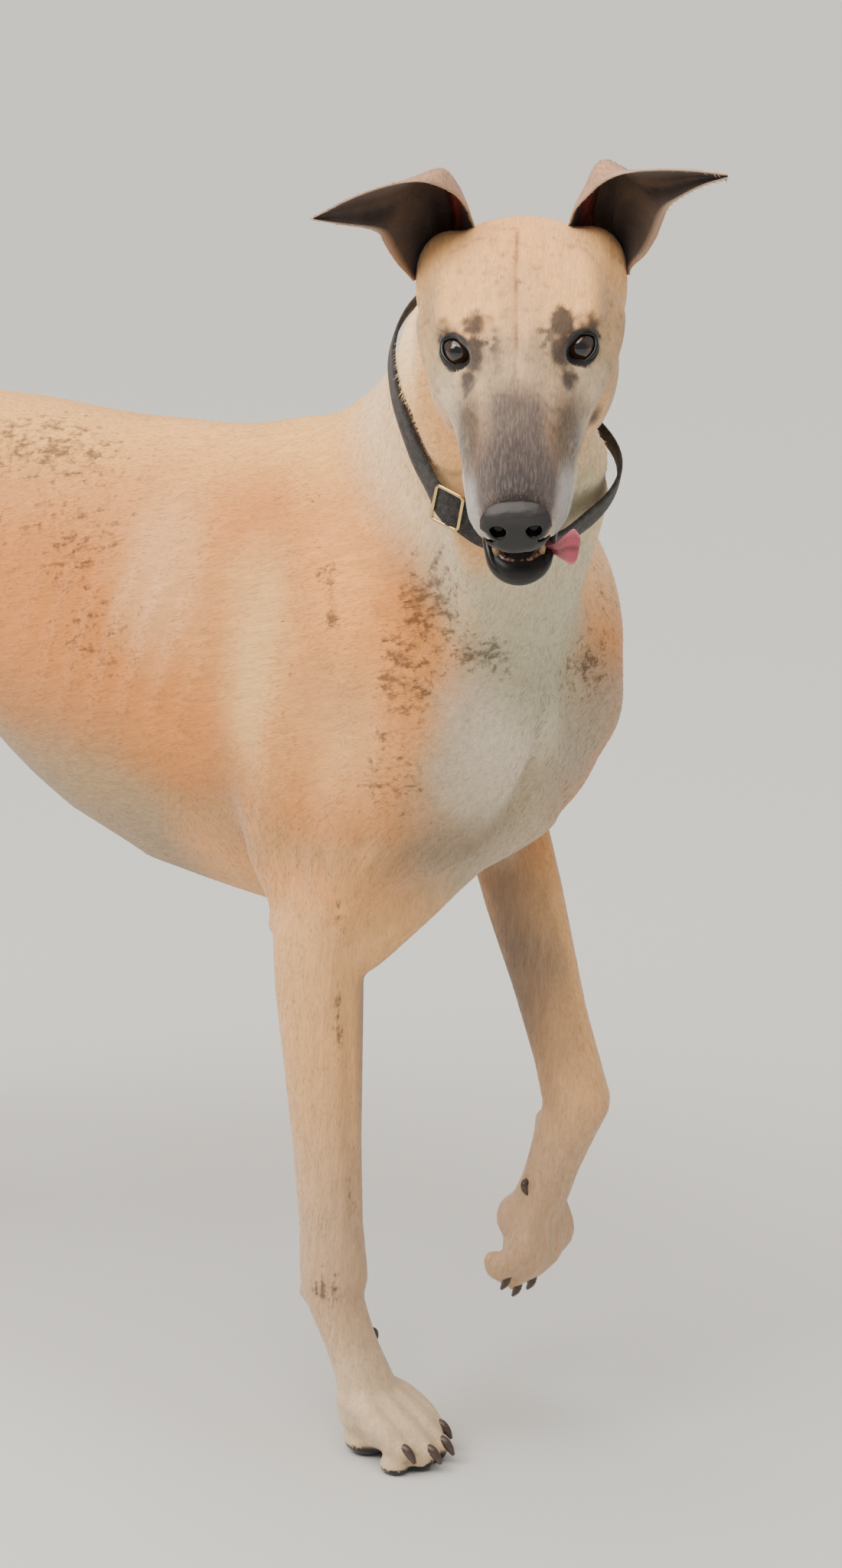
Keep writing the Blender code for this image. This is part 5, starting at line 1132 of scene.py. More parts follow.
def build_lid_rims(name, side):
    """Both edges of the lids as one soft bead round the opening."""
    inner, outer, top, bottom = LID_OPENING
    matrix = eye_frame(side)
    loop, outward = [], []
    for step in range(56):
        angle = 2 * math.pi * step / 56
        across = (outer - inner) / 2 - (inner + outer) / 2 * math.cos(angle)
        up = (top if math.sin(angle) > 0 else bottom) * math.copysign(abs(math.sin(angle)) ** 1.10,
                                                                      math.sin(angle))
        reach = EYE_RADIUS + 0.0009
        depth = math.sqrt(max(reach ** 2 - across ** 2 - up ** 2, (reach * 0.30) ** 2))
        loop.append(matrix @ Vector((depth, side * across, up)))
        outward.append(matrix.to_3x3() @ Vector((depth, side * across, up)).normalized())
    return ring_tube(name, loop, outward, 0.0017, 0.0010)


for side, name in ((-1, "right"), (1, "left")):
    eye = build_eye("eyeball_" + name, side)
    eye.data.materials.append(wet_eye)
    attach(eye, "root")
    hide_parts("eye_" + name)
    rim = build_lid_rims("lid_rims_" + name, side)
    rim.data.materials.append(lid_rim)
    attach(rim, "root")


# The nose leather is a wide black pad with two comma nostrils and a groove between them. Its skin
# is cast in fine cobbles, wet and glossy below, dry and greyer on its top.

nose = merged_nodes("nose_pad", ["nose"])
apply_modifier(nose, "REMESH", mode="VOXEL", voxel_size=0.0005)
soften(nose, np.ones(len(nose.data.vertices)), 12)
NOSE_MIDDLE = np.array((-0.012, 0.0, -0.022))
NOSE_FLAT = 0.0100
local = head_points(places_of(nose)) - NOSE_MIDDLE
local[:, 2] = np.where(local[:, 2] > NOSE_FLAT, NOSE_FLAT + (local[:, 2] - NOSE_FLAT) * 0.62, local[:, 2])
local[:, 2] = np.where(local[:, 2] < 0, local[:, 2] * 1.22, local[:, 2])
local = local * (1.04, 1.13, 1.08) + NOSE_MIDDLE + (0.0, 0.0, -0.0014)
set_places(nose, out_of_frame(head_frame, local))
make_active(nose)
bpy.ops.object.shade_smooth()
# Hairless leather grown in cobbles. Real ones are about 0.5 mm wide, and these are about 0.9 mm.
nose_leather, tree, shader = new_material("cobbled_nose_leather")
where = add_node(tree, "ShaderNodeTexCoord")
cobble = add_node(tree, "ShaderNodeTexVoronoi", [("Vector", where, "Object")], Scale=1150.0, Randomness=0.85)
relief = add_node(tree, "ShaderNodeBump", [("Height", cobble, "Distance")], Strength=0.35, Distance=-0.0003)
tree.links.new(relief.outputs["Normal"], shader.inputs["Normal"])
set_attribute(nose, "nose_place", head_points(places_of(nose)))
spot = add_node(tree, "ShaderNodeAttribute", attribute_name="nose_place")
split = add_node(tree, "ShaderNodeSeparateXYZ", [("Vector", spot, "Vector")])
top = add_node(tree, "ShaderNodeMapRange", [("Value", split, "Z")], From_Min=-0.0180, From_Max=-0.0120,
               To_Min=0.0, To_Max=1.0)
tone = add_node(tree, "ShaderNodeMix", [(0, top, "Result")], data_type="RGBA", in6=colour("#070707"),
                in7=colour("#2A2524"))
tree.links.new(tone.outputs[2], shader.inputs["Base Color"])
gloss = add_node(tree, "ShaderNodeMapRange", [("Value", top, "Result")], From_Min=0.0, From_Max=1.0,
                 To_Min=0.20, To_Max=0.52)
tree.links.new(gloss.outputs["Result"], shader.inputs["Roughness"])
nose.data.materials.append(nose_leather)
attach(nose, "root")
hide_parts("nose")


# The mouth stands a little open. A thick black lip runs round the lower jaw, and behind it a mottled
# gum carries small worn teeth, stained brown in spots.

LIP_HALF = (((-0.088, 0.0272, -0.0470), 0.0010, 0.0010), ((-0.066, 0.0236, -0.0488), 0.0015, 0.0018),
            ((-0.046, 0.0196, -0.0505), 0.0019, 0.0024), ((-0.0325, 0.0172, -0.0532), 0.0026, 0.0036),
            ((-0.0225, 0.0142, -0.0588), 0.0028, 0.0034), ((-0.0176, 0.0080, -0.0622), 0.0030, 0.0036))
GUM_HALF = (((-0.046, 0.0135, -0.0520), 0.0020, 0.0020), ((-0.0340, 0.0125, -0.0536), 0.0026, 0.0030),
            ((-0.0268, 0.0105, -0.0552), 0.0030, 0.0036), ((-0.0218, 0.0060, -0.0566), 0.0030, 0.0038))
HEAD_UP = np.array(head_frame)[:3, 2]


def joined(pieces, name):
    """Make one object of several."""
    bpy.ops.object.select_all(action="DESELECT")
    for piece in pieces:
        piece.select_set(True)
    bpy.context.view_layer.objects.active = pieces[0]
    bpy.ops.object.join()
    pieces[0].name = name
    return pieces[0]


def across_jaw(half, front):
    """Stations from the left corner round the front of the jaw to the right corner."""
    rows = list(half) + [front] + [((x, -y, z), wide, high) for (x, y, z), wide, high in reversed(half)]
    return ([Vector(spot) for spot in out_of_frame(head_frame, np.array([row[0] for row in rows]))],
            [row[1] for row in rows], [row[2] for row in rows])


lower_lip = swept("lower_lip", *across_jaw(LIP_HALF, ((-0.0160, 0.0, -0.0636), 0.0030, 0.0036)), HEAD_UP,
                  16, 6)
lower_lip.data.materials.append(lid_rim)
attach(lower_lip, "root")

# Wet gum, flesh coloured with dark pigment in patches of a few millimetres.
mouth_flesh, tree, shader = new_material("mottled_gum")
where = add_node(tree, "ShaderNodeTexCoord")
patch = add_node(tree, "ShaderNodeTexNoise", [("Vector", where, "Object")], Scale=420.0, Detail=3.0)
tint = add_node(tree, "ShaderNodeMapRange", [("Value", patch, "Fac")], From_Min=0.42, From_Max=0.58)
tone = add_node(tree, "ShaderNodeMix", [(0, tint, "Result")], data_type="RGBA", in6=colour("#2A1C1A"),
                in7=colour("#9A7262"))
tree.links.new(tone.outputs[2], shader.inputs["Base Color"])
shader.inputs["Roughness"].default_value = 0.25
gum = swept("lower_gum", *across_jaw(GUM_HALF, ((-0.0204, 0.0, -0.0572), 0.0030, 0.0038)), HEAD_UP, 12, 5)
gum.data.materials.append(mouth_flesh)
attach(gum, "root")

# Old enamel: smooth, yellow brown and stained darker in spots.
worn_enamel, tree, shader = new_material("worn_tooth_enamel")
where = add_node(tree, "ShaderNodeTexCoord")
stain = add_node(tree, "ShaderNodeTexNoise", [("Vector", where, "Object")], Scale=600.0, Detail=3.0)
tone = add_node(tree, "ShaderNodeMix", [(0, stain, "Fac")], data_type="RGBA", in6=colour("#5E4630"),
                in7=colour("#AF9570"))
tree.links.new(tone.outputs[2], shader.inputs["Base Color"])
shader.inputs["Roughness"].default_value = 0.30
TEETH = [((-0.0200 - 0.16 * abs(y), y, -0.0570), (0.0004, y * 0.06, high), 0.00105) for y, high in
         ((-0.0058, 0.0030), (-0.0034, 0.0036), (-0.0012, 0.0031), (0.0013, 0.0035), (0.0035, 0.0028),
          (0.0061, 0.0033))]
TEETH += [((-0.0268, side * 0.0112, -0.0570), (0.0018, side * 0.0026, 0.0100), 0.0018) for side in (-1, 1)]
teeth = []
for index, (foot, reach, wide) in enumerate(TEETH):
    spots = out_of_frame(head_frame,
                         np.array([np.array(foot) + np.array(reach) * t for t in (0.0, 0.5, 0.85, 1.0)]))
    teeth.append(swept(f"tooth_{index}", [Vector(spot) for spot in spots],
                       [wide, wide * 1.05, wide * 0.8, wide * 0.35],
                       [wide * 0.9, wide * 0.85, wide * 0.6, wide * 0.3], np.array(head_frame)[:3, 0], 10, 3))
teeth = joined(teeth, "lower_teeth")
teeth.data.materials.append(worn_enamel)
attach(teeth, "root")


# The tongue is a flat moist muscle that leaves the mouth at its left side. Out there it stands on
# edge, curled up against the lip, with a shallow groove down its middle.

TONGUE = (((-0.062, 0.004, -0.0500), (0.0110, 0.000, 0.0000), 0.0028),
          ((-0.042, 0.010, -0.0505), (0.0100, 0.002, 0.0020), 0.0028),
          ((-0.030, 0.016, -0.0512), (0.0060, 0.001, 0.0050), 0.0026),
          ((-0.0250, 0.0212, -0.0500), (0.0030, 0.000, 0.0075), 0.0022),
          ((-0.0235, 0.0258, -0.0480), (0.0010, 0.001, 0.0105), 0.0020),
          ((-0.0228, 0.0292, -0.0475), (0.0000, 0.001, 0.0124), 0.0018),
          ((-0.0230, 0.0315, -0.0480), (0.0000, 0.001, 0.0102), 0.0014),
          ((-0.0236, 0.0328, -0.0482), (0.0000, 0.001, 0.0060), 0.0008))
TONGUE_SIDES = 20
rows = curve_through([(*middle, *half, thick) for middle, half, thick in TONGUE], 6)
points, faces, place = [], [], []
for index, row in enumerate(rows):
    run = Vector(rows[min(index + 1, len(rows) - 1)][:3] - rows[max(index - 1, 0)][:3]).normalized()
    half = Vector(row[3:6])
    off = half.normalized().cross(run).normalized()
    for k in range(TONGUE_SIDES):
        angle = 2 * math.pi * k / TONGUE_SIDES
        groove = 1 - 0.55 * math.exp(-(math.cos(angle) / 0.30) ** 2)
        points.append(Vector(row[:3]) + half * math.cos(angle) + off * row[6] * math.sin(angle) * groove)
        place.append((math.cos(angle), index / (len(rows) - 1), math.sin(angle)))
for i in range(len(rows) - 1):
    for k in range(TONGUE_SIDES):
        n = (k + 1) % TONGUE_SIDES
        faces.append((i * TONGUE_SIDES + k, i * TONGUE_SIDES + n, (i + 1) * TONGUE_SIDES + n,
                      (i + 1) * TONGUE_SIDES + k))
faces.append(tuple(range(TONGUE_SIDES)))
faces.append(tuple(range(len(points) - TONGUE_SIDES, len(points))))
points = out_of_frame(head_frame, np.array([tuple(point) for point in points]))
tongue = new_piece("tongue_flesh", points, faces)
nearest = [int(np.argmin(((points - spot) ** 2).sum(axis=1))) for spot in places_of(tongue)]
set_attribute(tongue, "tongue_place", np.array(place)[nearest])
# Wet muscle under fine buds: light passes a little way into it. Its paler edges are painted light, and its
# darker middle groove and its darker part inside the mouth are painted shade.
wet_flesh, tree, shader = new_material("wet_pink_flesh")
where = add_node(tree, "ShaderNodeTexCoord")
buds = add_node(tree, "ShaderNodeTexNoise", [("Vector", where, "Object")], Scale=1400.0, Detail=3.0)
tint = add_node(tree, "ShaderNodeMix", [(0, buds, "Fac")], data_type="RGBA", in6=colour("#8A2036"),
                in7=colour("#CC5F72"))
place = add_node(tree, "ShaderNodeAttribute", attribute_name="tongue_place")
split = add_node(tree, "ShaderNodeSeparateXYZ", [("Vector", place, "Vector")])
edge = add_node(tree, "ShaderNodeMath", [(0, split, "X")], operation="ABSOLUTE")
# Painted light: paler toward the edges.
pale = add_node(tree, "ShaderNodeMapRange", [("Value", edge, "Value")], From_Min=0.70, From_Max=1.0,
                To_Max=0.6)
# Painted shade: darker toward the part inside the mouth.
inner = add_node(tree, "ShaderNodeMapRange", [("Value", split, "Y")], From_Min=0.62, From_Max=0.36,
                 To_Max=0.85)
edged = add_node(tree, "ShaderNodeMix", [(0, pale, "Result"), (6, tint, 2)], data_type="RGBA",
                 in7=colour("#E08F98"))
# Painted shade down the middle groove.
crease = add_node(tree, "ShaderNodeMapRange", [("Value", edge, "Value")], From_Min=0.28, From_Max=0.0,
                  To_Max=0.75)
creased = add_node(tree, "ShaderNodeMix", [(0, crease, "Result"), (6, edged, 2)], data_type="RGBA",
                   in7=colour("#6A1A2A"))
shaded = add_node(tree, "ShaderNodeMix", [(0, inner, "Result"), (6, creased, 2)], data_type="RGBA",
                  in7=colour("#5A2430"))
tree.links.new(shaded.outputs[2], shader.inputs["Base Color"])
relief = add_node(tree, "ShaderNodeBump", [("Height", buds, "Fac")], Strength=0.35, Distance=0.0004)
tree.links.new(relief.outputs["Normal"], shader.inputs["Normal"])
shader.inputs["Roughness"].default_value = 0.28
shader.inputs["Subsurface Weight"].default_value = 0.25
shader.inputs["Subsurface Radius"].default_value = (0.004, 0.0015, 0.001)
shader.inputs["Subsurface Scale"].default_value = 0.6
tongue.data.materials.append(wet_flesh)
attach(tongue, "root")
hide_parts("tongue")


# The collar is black woven webbing that lies in the neck's fur, threaded through a brass slide and
# closed by a moulded clip buckle. The webbing is an endless flat band, a little worn and fluffy.

SLIDE_HALF = (0.0100, 0.0112)
SLIDE_TURN = math.radians(10)
SLIDE_CORNER = 0.0026
SLIDE_BEND = 0.14
lift_at_slide = 0.0012 * rise(-np.abs(from_slide), -0.0085, -0.0050)


def on_ring(step, along, off):
    """A place on the collar's ring, off the skin by a distance, and the way out there."""
    angle = 2 * math.pi * step / RING_STEPS
    out = ring_right * math.cos(angle) + ring_up * math.sin(angle)
    back, front = ring_value(ring_back, step - 0.5), ring_value(ring_front, step - 0.5)
    away = (back + front) / 2 + (front - back) / 2 * along / STRAP_HALF + off
    along = along + ring_value(ring_sag, step - 0.5)
    return COLLAR_MIDDLE + COLLAR_AXIS * along + out * away, Vector(out)


# The strap's outline: place across in half widths, and height off the neck.
STRAP_PROFILE = ((-1.00, 0.0007), (-0.94, 0.0000), (0.94, 0.0000), (1.00, 0.0007),
                 (1.00, 0.0017), (0.93, 0.0023), (0.50, 0.0025), (0.00, 0.0025), (-0.50, 0.0025),
                 (-0.93, 0.0023), (-1.00, 0.0017))
points, faces, place = [], [], []
for k, step in enumerate(steps):
    for index, (edge, off) in enumerate(STRAP_PROFILE):
        raised = off + lift_at_slide[k] * (off > 0.001)
        points.append(on_ring(step, edge * STRAP_HALF, raised)[0])
        place.append((step_length[:k].sum(), edge * STRAP_HALF, 0.0))
width = len(STRAP_PROFILE)
for k in range(RING_STEPS):
    j = (k + 1) % RING_STEPS
    for index in range(width):
        n = (index + 1) % width
        faces.append((k * width + index, k * width + n, j * width + n, j * width + index))
strap = new_piece("webbing_strap", points, faces)
nearest = [int(np.argmin(((np.array(points) - spot) ** 2).sum(axis=1))) for spot in places_of(strap)]
set_attribute(strap, "strap_place", np.array(place)[nearest])
# Woven nylon: threads about 1.2 mm apart in both ways, dull black, greyed by wear and stray hair.
webbing, tree, shader = new_material("woven_black_webbing")
where = add_node(tree, "ShaderNodeAttribute", attribute_name="strap_place")
weft = add_node(tree, "ShaderNodeTexWave", [("Vector", where, "Vector")], bands_direction="X", Scale=200.0)
warp = add_node(tree, "ShaderNodeTexWave", [("Vector", where, "Vector")], bands_direction="Y", Scale=260.0)
weave = add_node(tree, "ShaderNodeMath", [(0, weft, "Fac"), (1, warp, "Fac")], operation="MULTIPLY")
spot = add_node(tree, "ShaderNodeTexCoord")
worn = add_node(tree, "ShaderNodeTexNoise", [("Vector", spot, "Object")], Scale=260.0, Detail=5.0,
                Roughness=0.7)
wear = add_node(tree, "ShaderNodeMapRange", [("Value", worn, "Fac")], From_Min=0.44, From_Max=0.68)
tint = add_node(tree, "ShaderNodeMix", [(0, wear, "Result")], data_type="RGBA", in6=colour("#0F0D0C"),
                in7=colour("#3A3430"))
tree.links.new(tint.outputs[2], shader.inputs["Base Color"])
height = add_node(tree, "ShaderNodeMath", [(0, weave, "Value"), (1, worn, "Fac")], operation="ADD")
relief = add_node(tree, "ShaderNodeBump", [("Height", height, "Value")], Strength=0.6, Distance=0.0004)
tree.links.new(relief.outputs["Normal"], shader.inputs["Normal"])
shader.inputs["Roughness"].default_value = 0.80
shader.inputs["Sheen Weight"].default_value = 0.12
strap.data.materials.append(webbing)
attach(strap, "root")
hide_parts("collar_strap")

# Cast and polished brass, a little hazy from wear.
brass, tree, shader = new_material("polished_brass")
shader.inputs["Base Color"].default_value = colour("#CDB079")
shader.inputs["Metallic"].default_value = 1.0
where = add_node(tree, "ShaderNodeTexCoord")
haze = add_node(tree, "ShaderNodeTexNoise", [("Vector", where, "Object")], Scale=400.0, Detail=3.0)
gloss = add_node(tree, "ShaderNodeMapRange", [("Value", haze, "Fac")], From_Min=0.3, From_Max=0.7,
                 To_Min=0.16, To_Max=0.30)
tree.links.new(gloss.outputs["Result"], shader.inputs["Roughness"])
SLIDE_OFF = 0.0034
seat, outside = on_ring(slide_step, 0.0, SLIDE_OFF)
seat, ahead = Vector(seat), Vector(on_ring(slide_step + turn_down, 0.0, SLIDE_OFF)[0])
strap_run = (ahead - seat).normalized()
across = Vector(on_ring(slide_step, STRAP_HALF, SLIDE_OFF)[0] - on_ring(slide_step, -STRAP_HALF,
                                                                        SLIDE_OFF)[0])
off_strap = strap_run.cross(across).normalized()
if off_strap.dot(outside) < 0:
    off_strap.negate()
strap_over = off_strap.cross(strap_run).normalized()
loop, outward = [], []
for corner in range(4):
    sign_u, sign_v = ((1, 1), (-1, 1), (-1, -1), (1, -1))[corner]
    for turn in range(7):
        angle = math.pi / 2 * (corner + turn / 6)
        u = sign_u * (SLIDE_HALF[0] - SLIDE_CORNER) + SLIDE_CORNER * math.cos(angle)
        v = sign_v * (SLIDE_HALF[1] - SLIDE_CORNER) + SLIDE_CORNER * math.sin(angle)
        u, v = (u * math.cos(SLIDE_TURN) - v * math.sin(SLIDE_TURN),
                u * math.sin(SLIDE_TURN) + v * math.cos(SLIDE_TURN))
        loop.append(seat + strap_run * u + strap_over * v - off_strap * (u * u / SLIDE_BEND))
        outward.append(off_strap)
slide = ring_tube("brass_slide", loop, outward, 0.00115, 0.00095, 12)
slide.data.materials.append(brass)
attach(slide, "root")
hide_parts("collar_slide")

# Injection-moulded nylon with a fine grain.
clip_plastic, tree, shader = new_material("moulded_black_plastic")
shader.inputs["Base Color"].default_value = colour("#0E0E0F")
where = add_node(tree, "ShaderNodeTexCoord")
grain = add_node(tree, "ShaderNodeTexNoise", [("Vector", where, "Object")], Scale=2200.0)
relief = add_node(tree, "ShaderNodeBump", [("Height", grain, "Fac")], Strength=0.15, Distance=0.0002)
tree.links.new(relief.outputs["Normal"], shader.inputs["Normal"])
shader.inputs["Roughness"].default_value = 0.24
buckle = merged_nodes("clip_buckle", ["collar_buckle"])
apply_modifier(buckle, "BEVEL", width=0.0008, segments=3, limit_method="ANGLE", angle_limit=math.radians(40))
make_active(buckle)
bpy.ops.object.shade_smooth_by_angle(angle=math.radians(40))
buckle.data.materials.append(clip_plastic)
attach(buckle, "root")
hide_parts("collar_buckle")


# Each toe ends in a short curved claw of dark horn, and each foreleg carries a dewclaw on its inner
# side. A claw grows out of the toe's end and points down and forward.

CLAW_HALF = 0.0034
TOES = ((-0.0225, 0.046), (-0.0080, 0.058), (0.0080, 0.058), (0.0225, 0.046))
toes_to, back_to = Vector((0.36, 0.0, -0.93)).normalized(), Vector((0.93, 0.0, 0.36)).normalized()
lifted_paw = Matrix((toes_to, back_to.cross(toes_to), back_to)).transposed().to_4x4()
lifted_paw.translation = Vector((0.070, 0.082, 0.136)) - back_to * 0.030 - toes_to * 0.004
PAWS = ((Matrix.Translation((0.034, -0.054, 0.0)) @ Matrix.Rotation(math.radians(8), 4, "Z"), 36.0),
        (lifted_paw, 62.0),
        (Matrix.Translation((-0.574, -0.089, 0.0)) @ Matrix.Rotation(math.radians(-5), 4, "Z"), 36.0),
        (Matrix.Translation((-0.640, 0.094, 0.0)) @ Matrix.Rotation(math.radians(7), 4, "Z")
         @ Matrix.Scale(0.94, 4), 36.0))
# Claw horn, worn smooth by the ground, brown black with paler grown streaks.
horn, tree, shader = new_material("dark_claw_horn")
where = add_node(tree, "ShaderNodeTexCoord")
grow = add_node(tree, "ShaderNodeTexNoise", [("Vector", where, "Object")], Scale=500.0, Detail=3.0)
tone = add_node(tree, "ShaderNodeMix", [(0, grow, "Fac")], data_type="RGBA", in6=colour("#241C18"),
                in7=colour("#5B4A3E"))
tree.links.new(tone.outputs[2], shader.inputs["Base Color"])
shader.inputs["Roughness"].default_value = 0.36
claws = []


def grow_claw(spots, wide):
    """One claw through four places, thick at its root and blunt at its end."""
    claws.append(swept(f"claw_{len(claws)}", [Vector(spot) for spot in spots],
                       [wide * 0.92, wide, wide * 0.80, wide * 0.32],
                       [wide, wide * 1.08, wide * 0.85, wide * 0.34], (0.15, 0.1, 1.0), 12, 4))


for matrix, curl in PAWS:
    for offset, reach in TOES:
        fold = math.radians(curl)
        tip = Vector((reach * 0.5 + reach * 0.5 * math.cos(fold), offset * 1.03,
                      0.030 - reach * 0.5 * math.sin(fold)))
        grow_claw([shift + matrix @ (tip + Vector(step)) for step in
                   ((-0.001, 0.0, 0.0030), (0.0045, 0.0, 0.0026), (0.0090, 0.0, -0.0008),
                    (0.0124, 0.0, -0.0056))], CLAW_HALF)
skin_points, skin_normals = places_of(skin), normals_of(skin)
for target, down in (((0.030, -0.030, 0.082), (0.25, 0.05, -1.0)), ((0.080, 0.064, 0.171), (0.3, 0.0, -1.0))):
    root = int(np.argmin(((body_points(skin_points) - np.array(target)) ** 2).sum(axis=1)))
    start, out = Vector(skin_points[root]), Vector(skin_normals[root])
    down = Vector(down).normalized()
    grow_claw([start - out * 0.002, start + out * 0.0022 + down * 0.002, start + out * 0.0030 + down * 0.006,
               start + out * 0.0016 + down * 0.0098], 0.0025)
claws = joined(claws, "claws")
claws.data.materials.append(horn)
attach(claws, "root")


# Tufts of the coat: where the short hair stands off the skin it shows as thin overlapping locks,
# longest on neck, breast and the backs of the thighs, and shortest on the face and feet.

TUFT_ROOT_DEPTH = 0.0006
TUFT_SPOT = 0.0014
TUFTS = 140000
TUFTS_IN_PIECE = 19500
TUFT_PIECES = (("coat_trunk", (TRUNK,)), ("coat_head", (HEAD,)), ("coat_neck", (NECK, TAIL)),
               ("coat_forelegs", (FORE_RIGHT, FORE_LEFT)), ("coat_hindlegs", (HIND_RIGHT, HIND_LEFT)))
TUFT_LENGTH = np.array((0.0064, 0.0030, 0.0068, 0.0060, 0.0046, 0.0046, 0.0052, 0.0052))
REGION_AXIS = HAIR_RUN.copy()
REGION_AXIS[TRUNK] = (-1.0, 0.0, 0.0)


def unwrap(points, region):
    """Places on a flat sheet: each region is rolled off its own axis into a cell of its own."""
    axis = REGION_AXIS[region] / np.linalg.norm(REGION_AXIS[region], axis=1)[:, None]
    centres = np.array([points[region == k].mean(axis=0) if (region == k).any() else np.zeros(3)
                        for k in range(len(REGIONS))])
    local = points - centres[region]
    side = np.cross(axis, np.array((0.0, 1.0, 0.02)))
    side /= np.linalg.norm(side, axis=1)[:, None]
    other = np.cross(axis, side)
    turn = np.arctan2((local * side).sum(axis=1), (local * other).sum(axis=1)) / (2 * math.pi) + 0.5
    run = np.clip((local * axis).sum(axis=1) / 1.2 + 0.5, 0, 1)
    return np.stack([(region % 3 + 0.05 + 0.9 * turn) / 3, (region // 3 + 0.05 + 0.9 * run) / 3], axis=1)


def tuft_roots(item, count, seed):
    """Places and normals of roots spread over a skin, denser on the head, and the random source that drew
    them.
    """
    mesh = item.data
    mesh.calc_loop_triangles()
    corners = np.empty(len(mesh.loop_triangles) * 3, dtype=np.int64)
    mesh.loop_triangles.foreach_get("vertices", corners)
    corners = corners.reshape(-1, 3)
    points, normals = places_of(item), normals_of(item)
    a, b, c = (points[corners[:, k]] for k in range(3))
    area = np.linalg.norm(np.cross(b - a, c - a), axis=1)
    weight = area * (1 + 3.0 * region_shares((a + b + c) / 3)[:, HEAD])
    rng = np.random.default_rng(seed)
    edges = np.cumsum(weight)
    drawn = (np.arange(count) + rng.random(count)) / count * edges[-1]
    pick = np.searchsorted(edges, drawn)
    u, v = rng.random(count), rng.random(count)
    flip = u + v > 1
    u[flip], v[flip] = 1 - u[flip], 1 - v[flip]
    share = np.stack([1 - u - v, u, v], axis=1)[:, :, None]
    return ((points[corners[pick]] * share).sum(axis=1),
            (normals[corners[pick]] * share).sum(axis=1), rng)


def grow_tufts(name, roots, normals, run, length, wide, lift, tone, marks, uv):
    """Thin three-sided locks that lie along the body. Each is shaded as the skin under it is."""
    n, d, s = normals, run, np.cross(normals, run)
    w, h, l = wide[:, None], lift[:, None], length[:, None]
    corners = np.stack([
        roots - n * TUFT_ROOT_DEPTH - s * w, roots - n * TUFT_ROOT_DEPTH + s * w,
                        roots - n * TUFT_ROOT_DEPTH / 2,
        roots + d * l * 0.5 - s * w + n * h * 0.8, roots + d * l * 0.5 + s * w + n * h * 0.8,
        roots + d * l * 0.5 + n * (h * 0.8 + w * 0.22),
        roots + d * l + n * h], axis=1)
    lean = np.array((-0.25, 0.25, 0.0, -0.25, 0.25, 0.0, 0.0))
    shown = n[:, None] + s[:, None] * lean[None, :, None] + d[:, None] * 0.05
    shown /= np.linalg.norm(shown, axis=2)[:, :, None]
    faces = np.array(((2, 1, 0), (4, 3, 0), (1, 4, 0), (5, 4, 1), (2, 5, 1), (3, 5, 2), (0, 3, 2),
                      (4, 6, 3), (5, 6, 4), (3, 6, 5)))
    count = len(roots)
    corner_index = (faces[None] + 7 * np.arange(count)[:, None, None]).reshape(-1)
    mesh = bpy.data.meshes.new(name)
    mesh.vertices.add(count * 7)
    mesh.vertices.foreach_set("co", corners.reshape(-1).astype(np.float32))
    mesh.loops.add(len(corner_index))
    mesh.loops.foreach_set("vertex_index", corner_index.astype(np.int32))
    mesh.polygons.add(len(corner_index) // 3)
    mesh.polygons.foreach_set("loop_start", np.arange(0, len(corner_index), 3, dtype=np.int32))
    mesh.update(calc_edges=True)
    tufts = bpy.data.objects.new(name, mesh)
    bpy.context.scene.collection.objects.link(tufts)
    make_active(tufts)
    bpy.ops.object.shade_smooth()
    mesh.normals_split_custom_set_from_vertices(shown.reshape(-1, 3).tolist())
    spots = np.array(((-1, -1), (1, -1), (0, -0.8), (-0.8, 0.2), (0.8, 0.2), (0, 0.3), (0, 1))) * TUFT_SPOT
    sheet = mesh.uv_layers.new(name="OFBake")
    places = (uv[:, None] + spots[None]).reshape(-1, 2)[corner_index]
    sheet.data.foreach_set("uv", places.astype(np.float32).ravel())
    vary = np.repeat(0.95 + 0.12 * rng.random(count), 7)[:, None]
    set_attribute(tufts, "coat_colour", np.repeat(tone, 7, axis=0) * vary, "FLOAT_COLOR")
    set_attribute(tufts, "coat_marks", np.repeat(marks, 7, axis=0))
    set_attribute(tufts, "coat_lie", lie_of(np.repeat(roots, 7, axis=0))[1])
    tufts.data.materials.append(short_fur)
    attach(tufts, "root")
    return tufts


def laid(run, normals, spread):
    """Directions laid on the skin, each turned a little by chance."""
    run = run + rng.normal(0, spread, run.shape)
    run -= normals * (run * normals).sum(axis=1)[:, None]
    return run / np.maximum(np.linalg.norm(run, axis=1), 1e-6)[:, None]


roots, root_normals, rng = tuft_roots(skin, TUFTS, 5)
root_normals /= np.linalg.norm(root_normals, axis=1)[:, None]
root_shares = region_shares(roots)
root_regions = root_shares.argmax(axis=1)
tone, marks = coat_look(roots, root_normals)
body = body_points(roots)
length = (root_shares @ TUFT_LENGTH) * (0.70 + 0.6 * rng.random(len(roots)))
length *= 1 - 0.50 * rise(-body[:, 2], -0.10, -0.03)
length *= 1 - 0.40 * root_shares[:, HEAD] * rise(head_points(roots)[:, 0], -0.14, -0.08)
parting, _ = along_line(body, ((0.150, 0.003, 0.580), (0.143, 0.002, 0.534), (0.140, -0.003, 0.505)))
parting = np.exp(-(parting / 0.007) ** 2)
run = laid(lie_of(roots)[0], root_normals, 0.13)
wide = (0.00012 + 0.00013 * rng.random(len(roots))) * (1 - 0.25 * root_shares[:, HEAD])
lift = 0.00012 + length * (0.020 * rng.random(len(roots)) + 0.12 * parting)
length *= 1 + 0.5 * parting
along, away, step = on_strap(roots)
under_strap = (np.abs(along) < STRAP_HALF * 1.02) & (away < 0.105) & (root_shares[:, HEAD] < 0.5)
clear = (marks[:, 2] < 0.25) & ~under_strap
uv = unwrap(roots, root_regions)
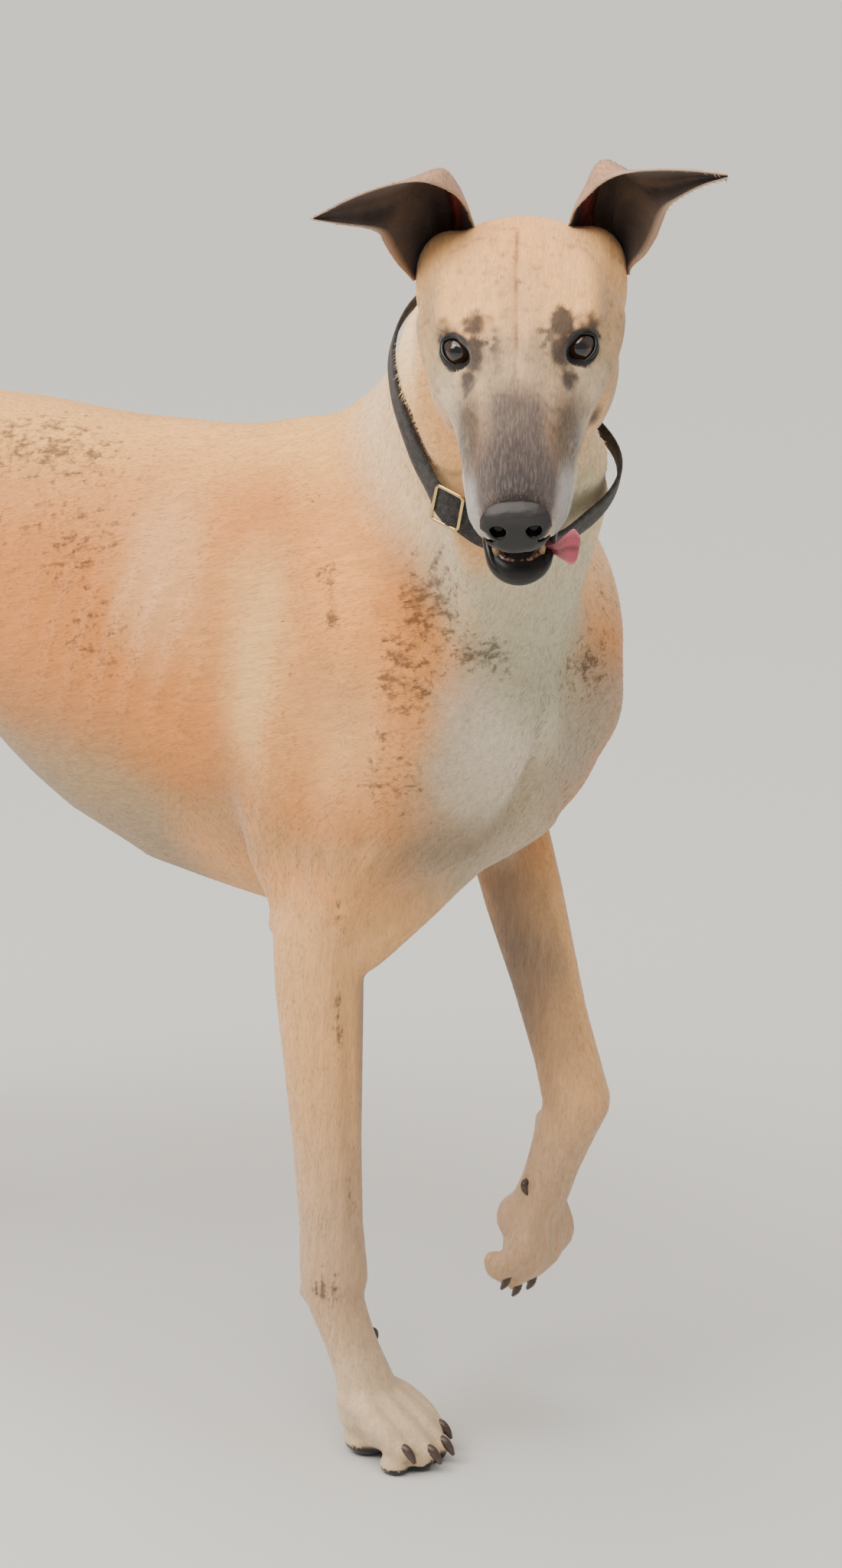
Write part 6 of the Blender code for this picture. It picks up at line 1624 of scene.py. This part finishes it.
for name, regions in TUFT_PIECES:
    members = np.nonzero(np.isin(root_regions, regions) & clear)[0]
    members = members[np.argsort(-roots[members, 0])]
    parts = int(np.ceil(len(members) / TUFTS_IN_PIECE))
    for index, m in enumerate(np.array_split(members, parts)):
        tufts = grow_tufts(f"{name}_{index + 1}", roots[m], root_normals[m], run[m], length[m], wide[m],
                           lift[m], tone[m], marks[m], uv[m])

# The ears' backs have the same short hair, and a thin pale fringe follows their rims.
for side, ear in ears.items():
    roots, root_normals, rng = tuft_roots(ear, 6000, 7 + side)
    root_normals /= np.linalg.norm(root_normals, axis=1)[:, None]
    tree_of = KDTree(len(ear.data.vertices))
    for index, spot in enumerate(places_of(ear)):
        tree_of.insert(spot, index)
    tree_of.balance()
    held = np.empty(len(ear.data.vertices) * 3)
    ear.data.attributes["ear_marks"].data.foreach_get("vector", held)
    held = held.reshape(-1, 3)[[tree_of.find(spot)[1] for spot in roots]]
    rim = held[:, 2] < 0.35
    keep = (held[:, 0] < 0.5) | (held[:, 2] < 0.20)
    tip = out_of_frame(head_frame, np.array([[-0.200, side * 0.135, 0.045]]))
    run = tip - roots
    run /= np.linalg.norm(run, axis=1)[:, None]
    run = run + np.array(head_frame)[:3, 2] * 1.2 * rise(-np.linalg.norm(tip - roots, axis=1), -0.03,
                                                         -0.09)[:, None]
    run = laid(run, root_normals, 0.12)
    count = len(roots)
    length = np.where(rim, 0.0030, 0.0042) * (0.7 + 0.6 * rng.random(count))
    tone = np.where(rim[:, None], np.array(colour("#C9AC92")[:3]), np.array(colour("#C4946E")[:3]))
    tone = tone * (0.9 + 0.25 * lattice_noise(roots, 0.010, 15))[:, None]
    head = head_points(roots)
    uv = np.stack([(2 + 0.05 + 0.9 * (0.5 + head[:, 0] * 2.5 + 0.5 + side * 0.12) % 1.0) / 3,
                   (2 + 0.05 + 0.9 * np.clip(head[:, 1] * side * 7.5, 0, 1)) / 3], axis=1)
    k = np.nonzero(keep)[0]
    tufts = grow_tufts("coat_ear_" + ("right" if side < 0 else "left"), roots[k], root_normals[k], run[k],
                       length[k], np.full(len(k), 0.00016), np.full(len(k), 0.00022), tone[k],
                       np.zeros((len(k), 3)), uv[k])
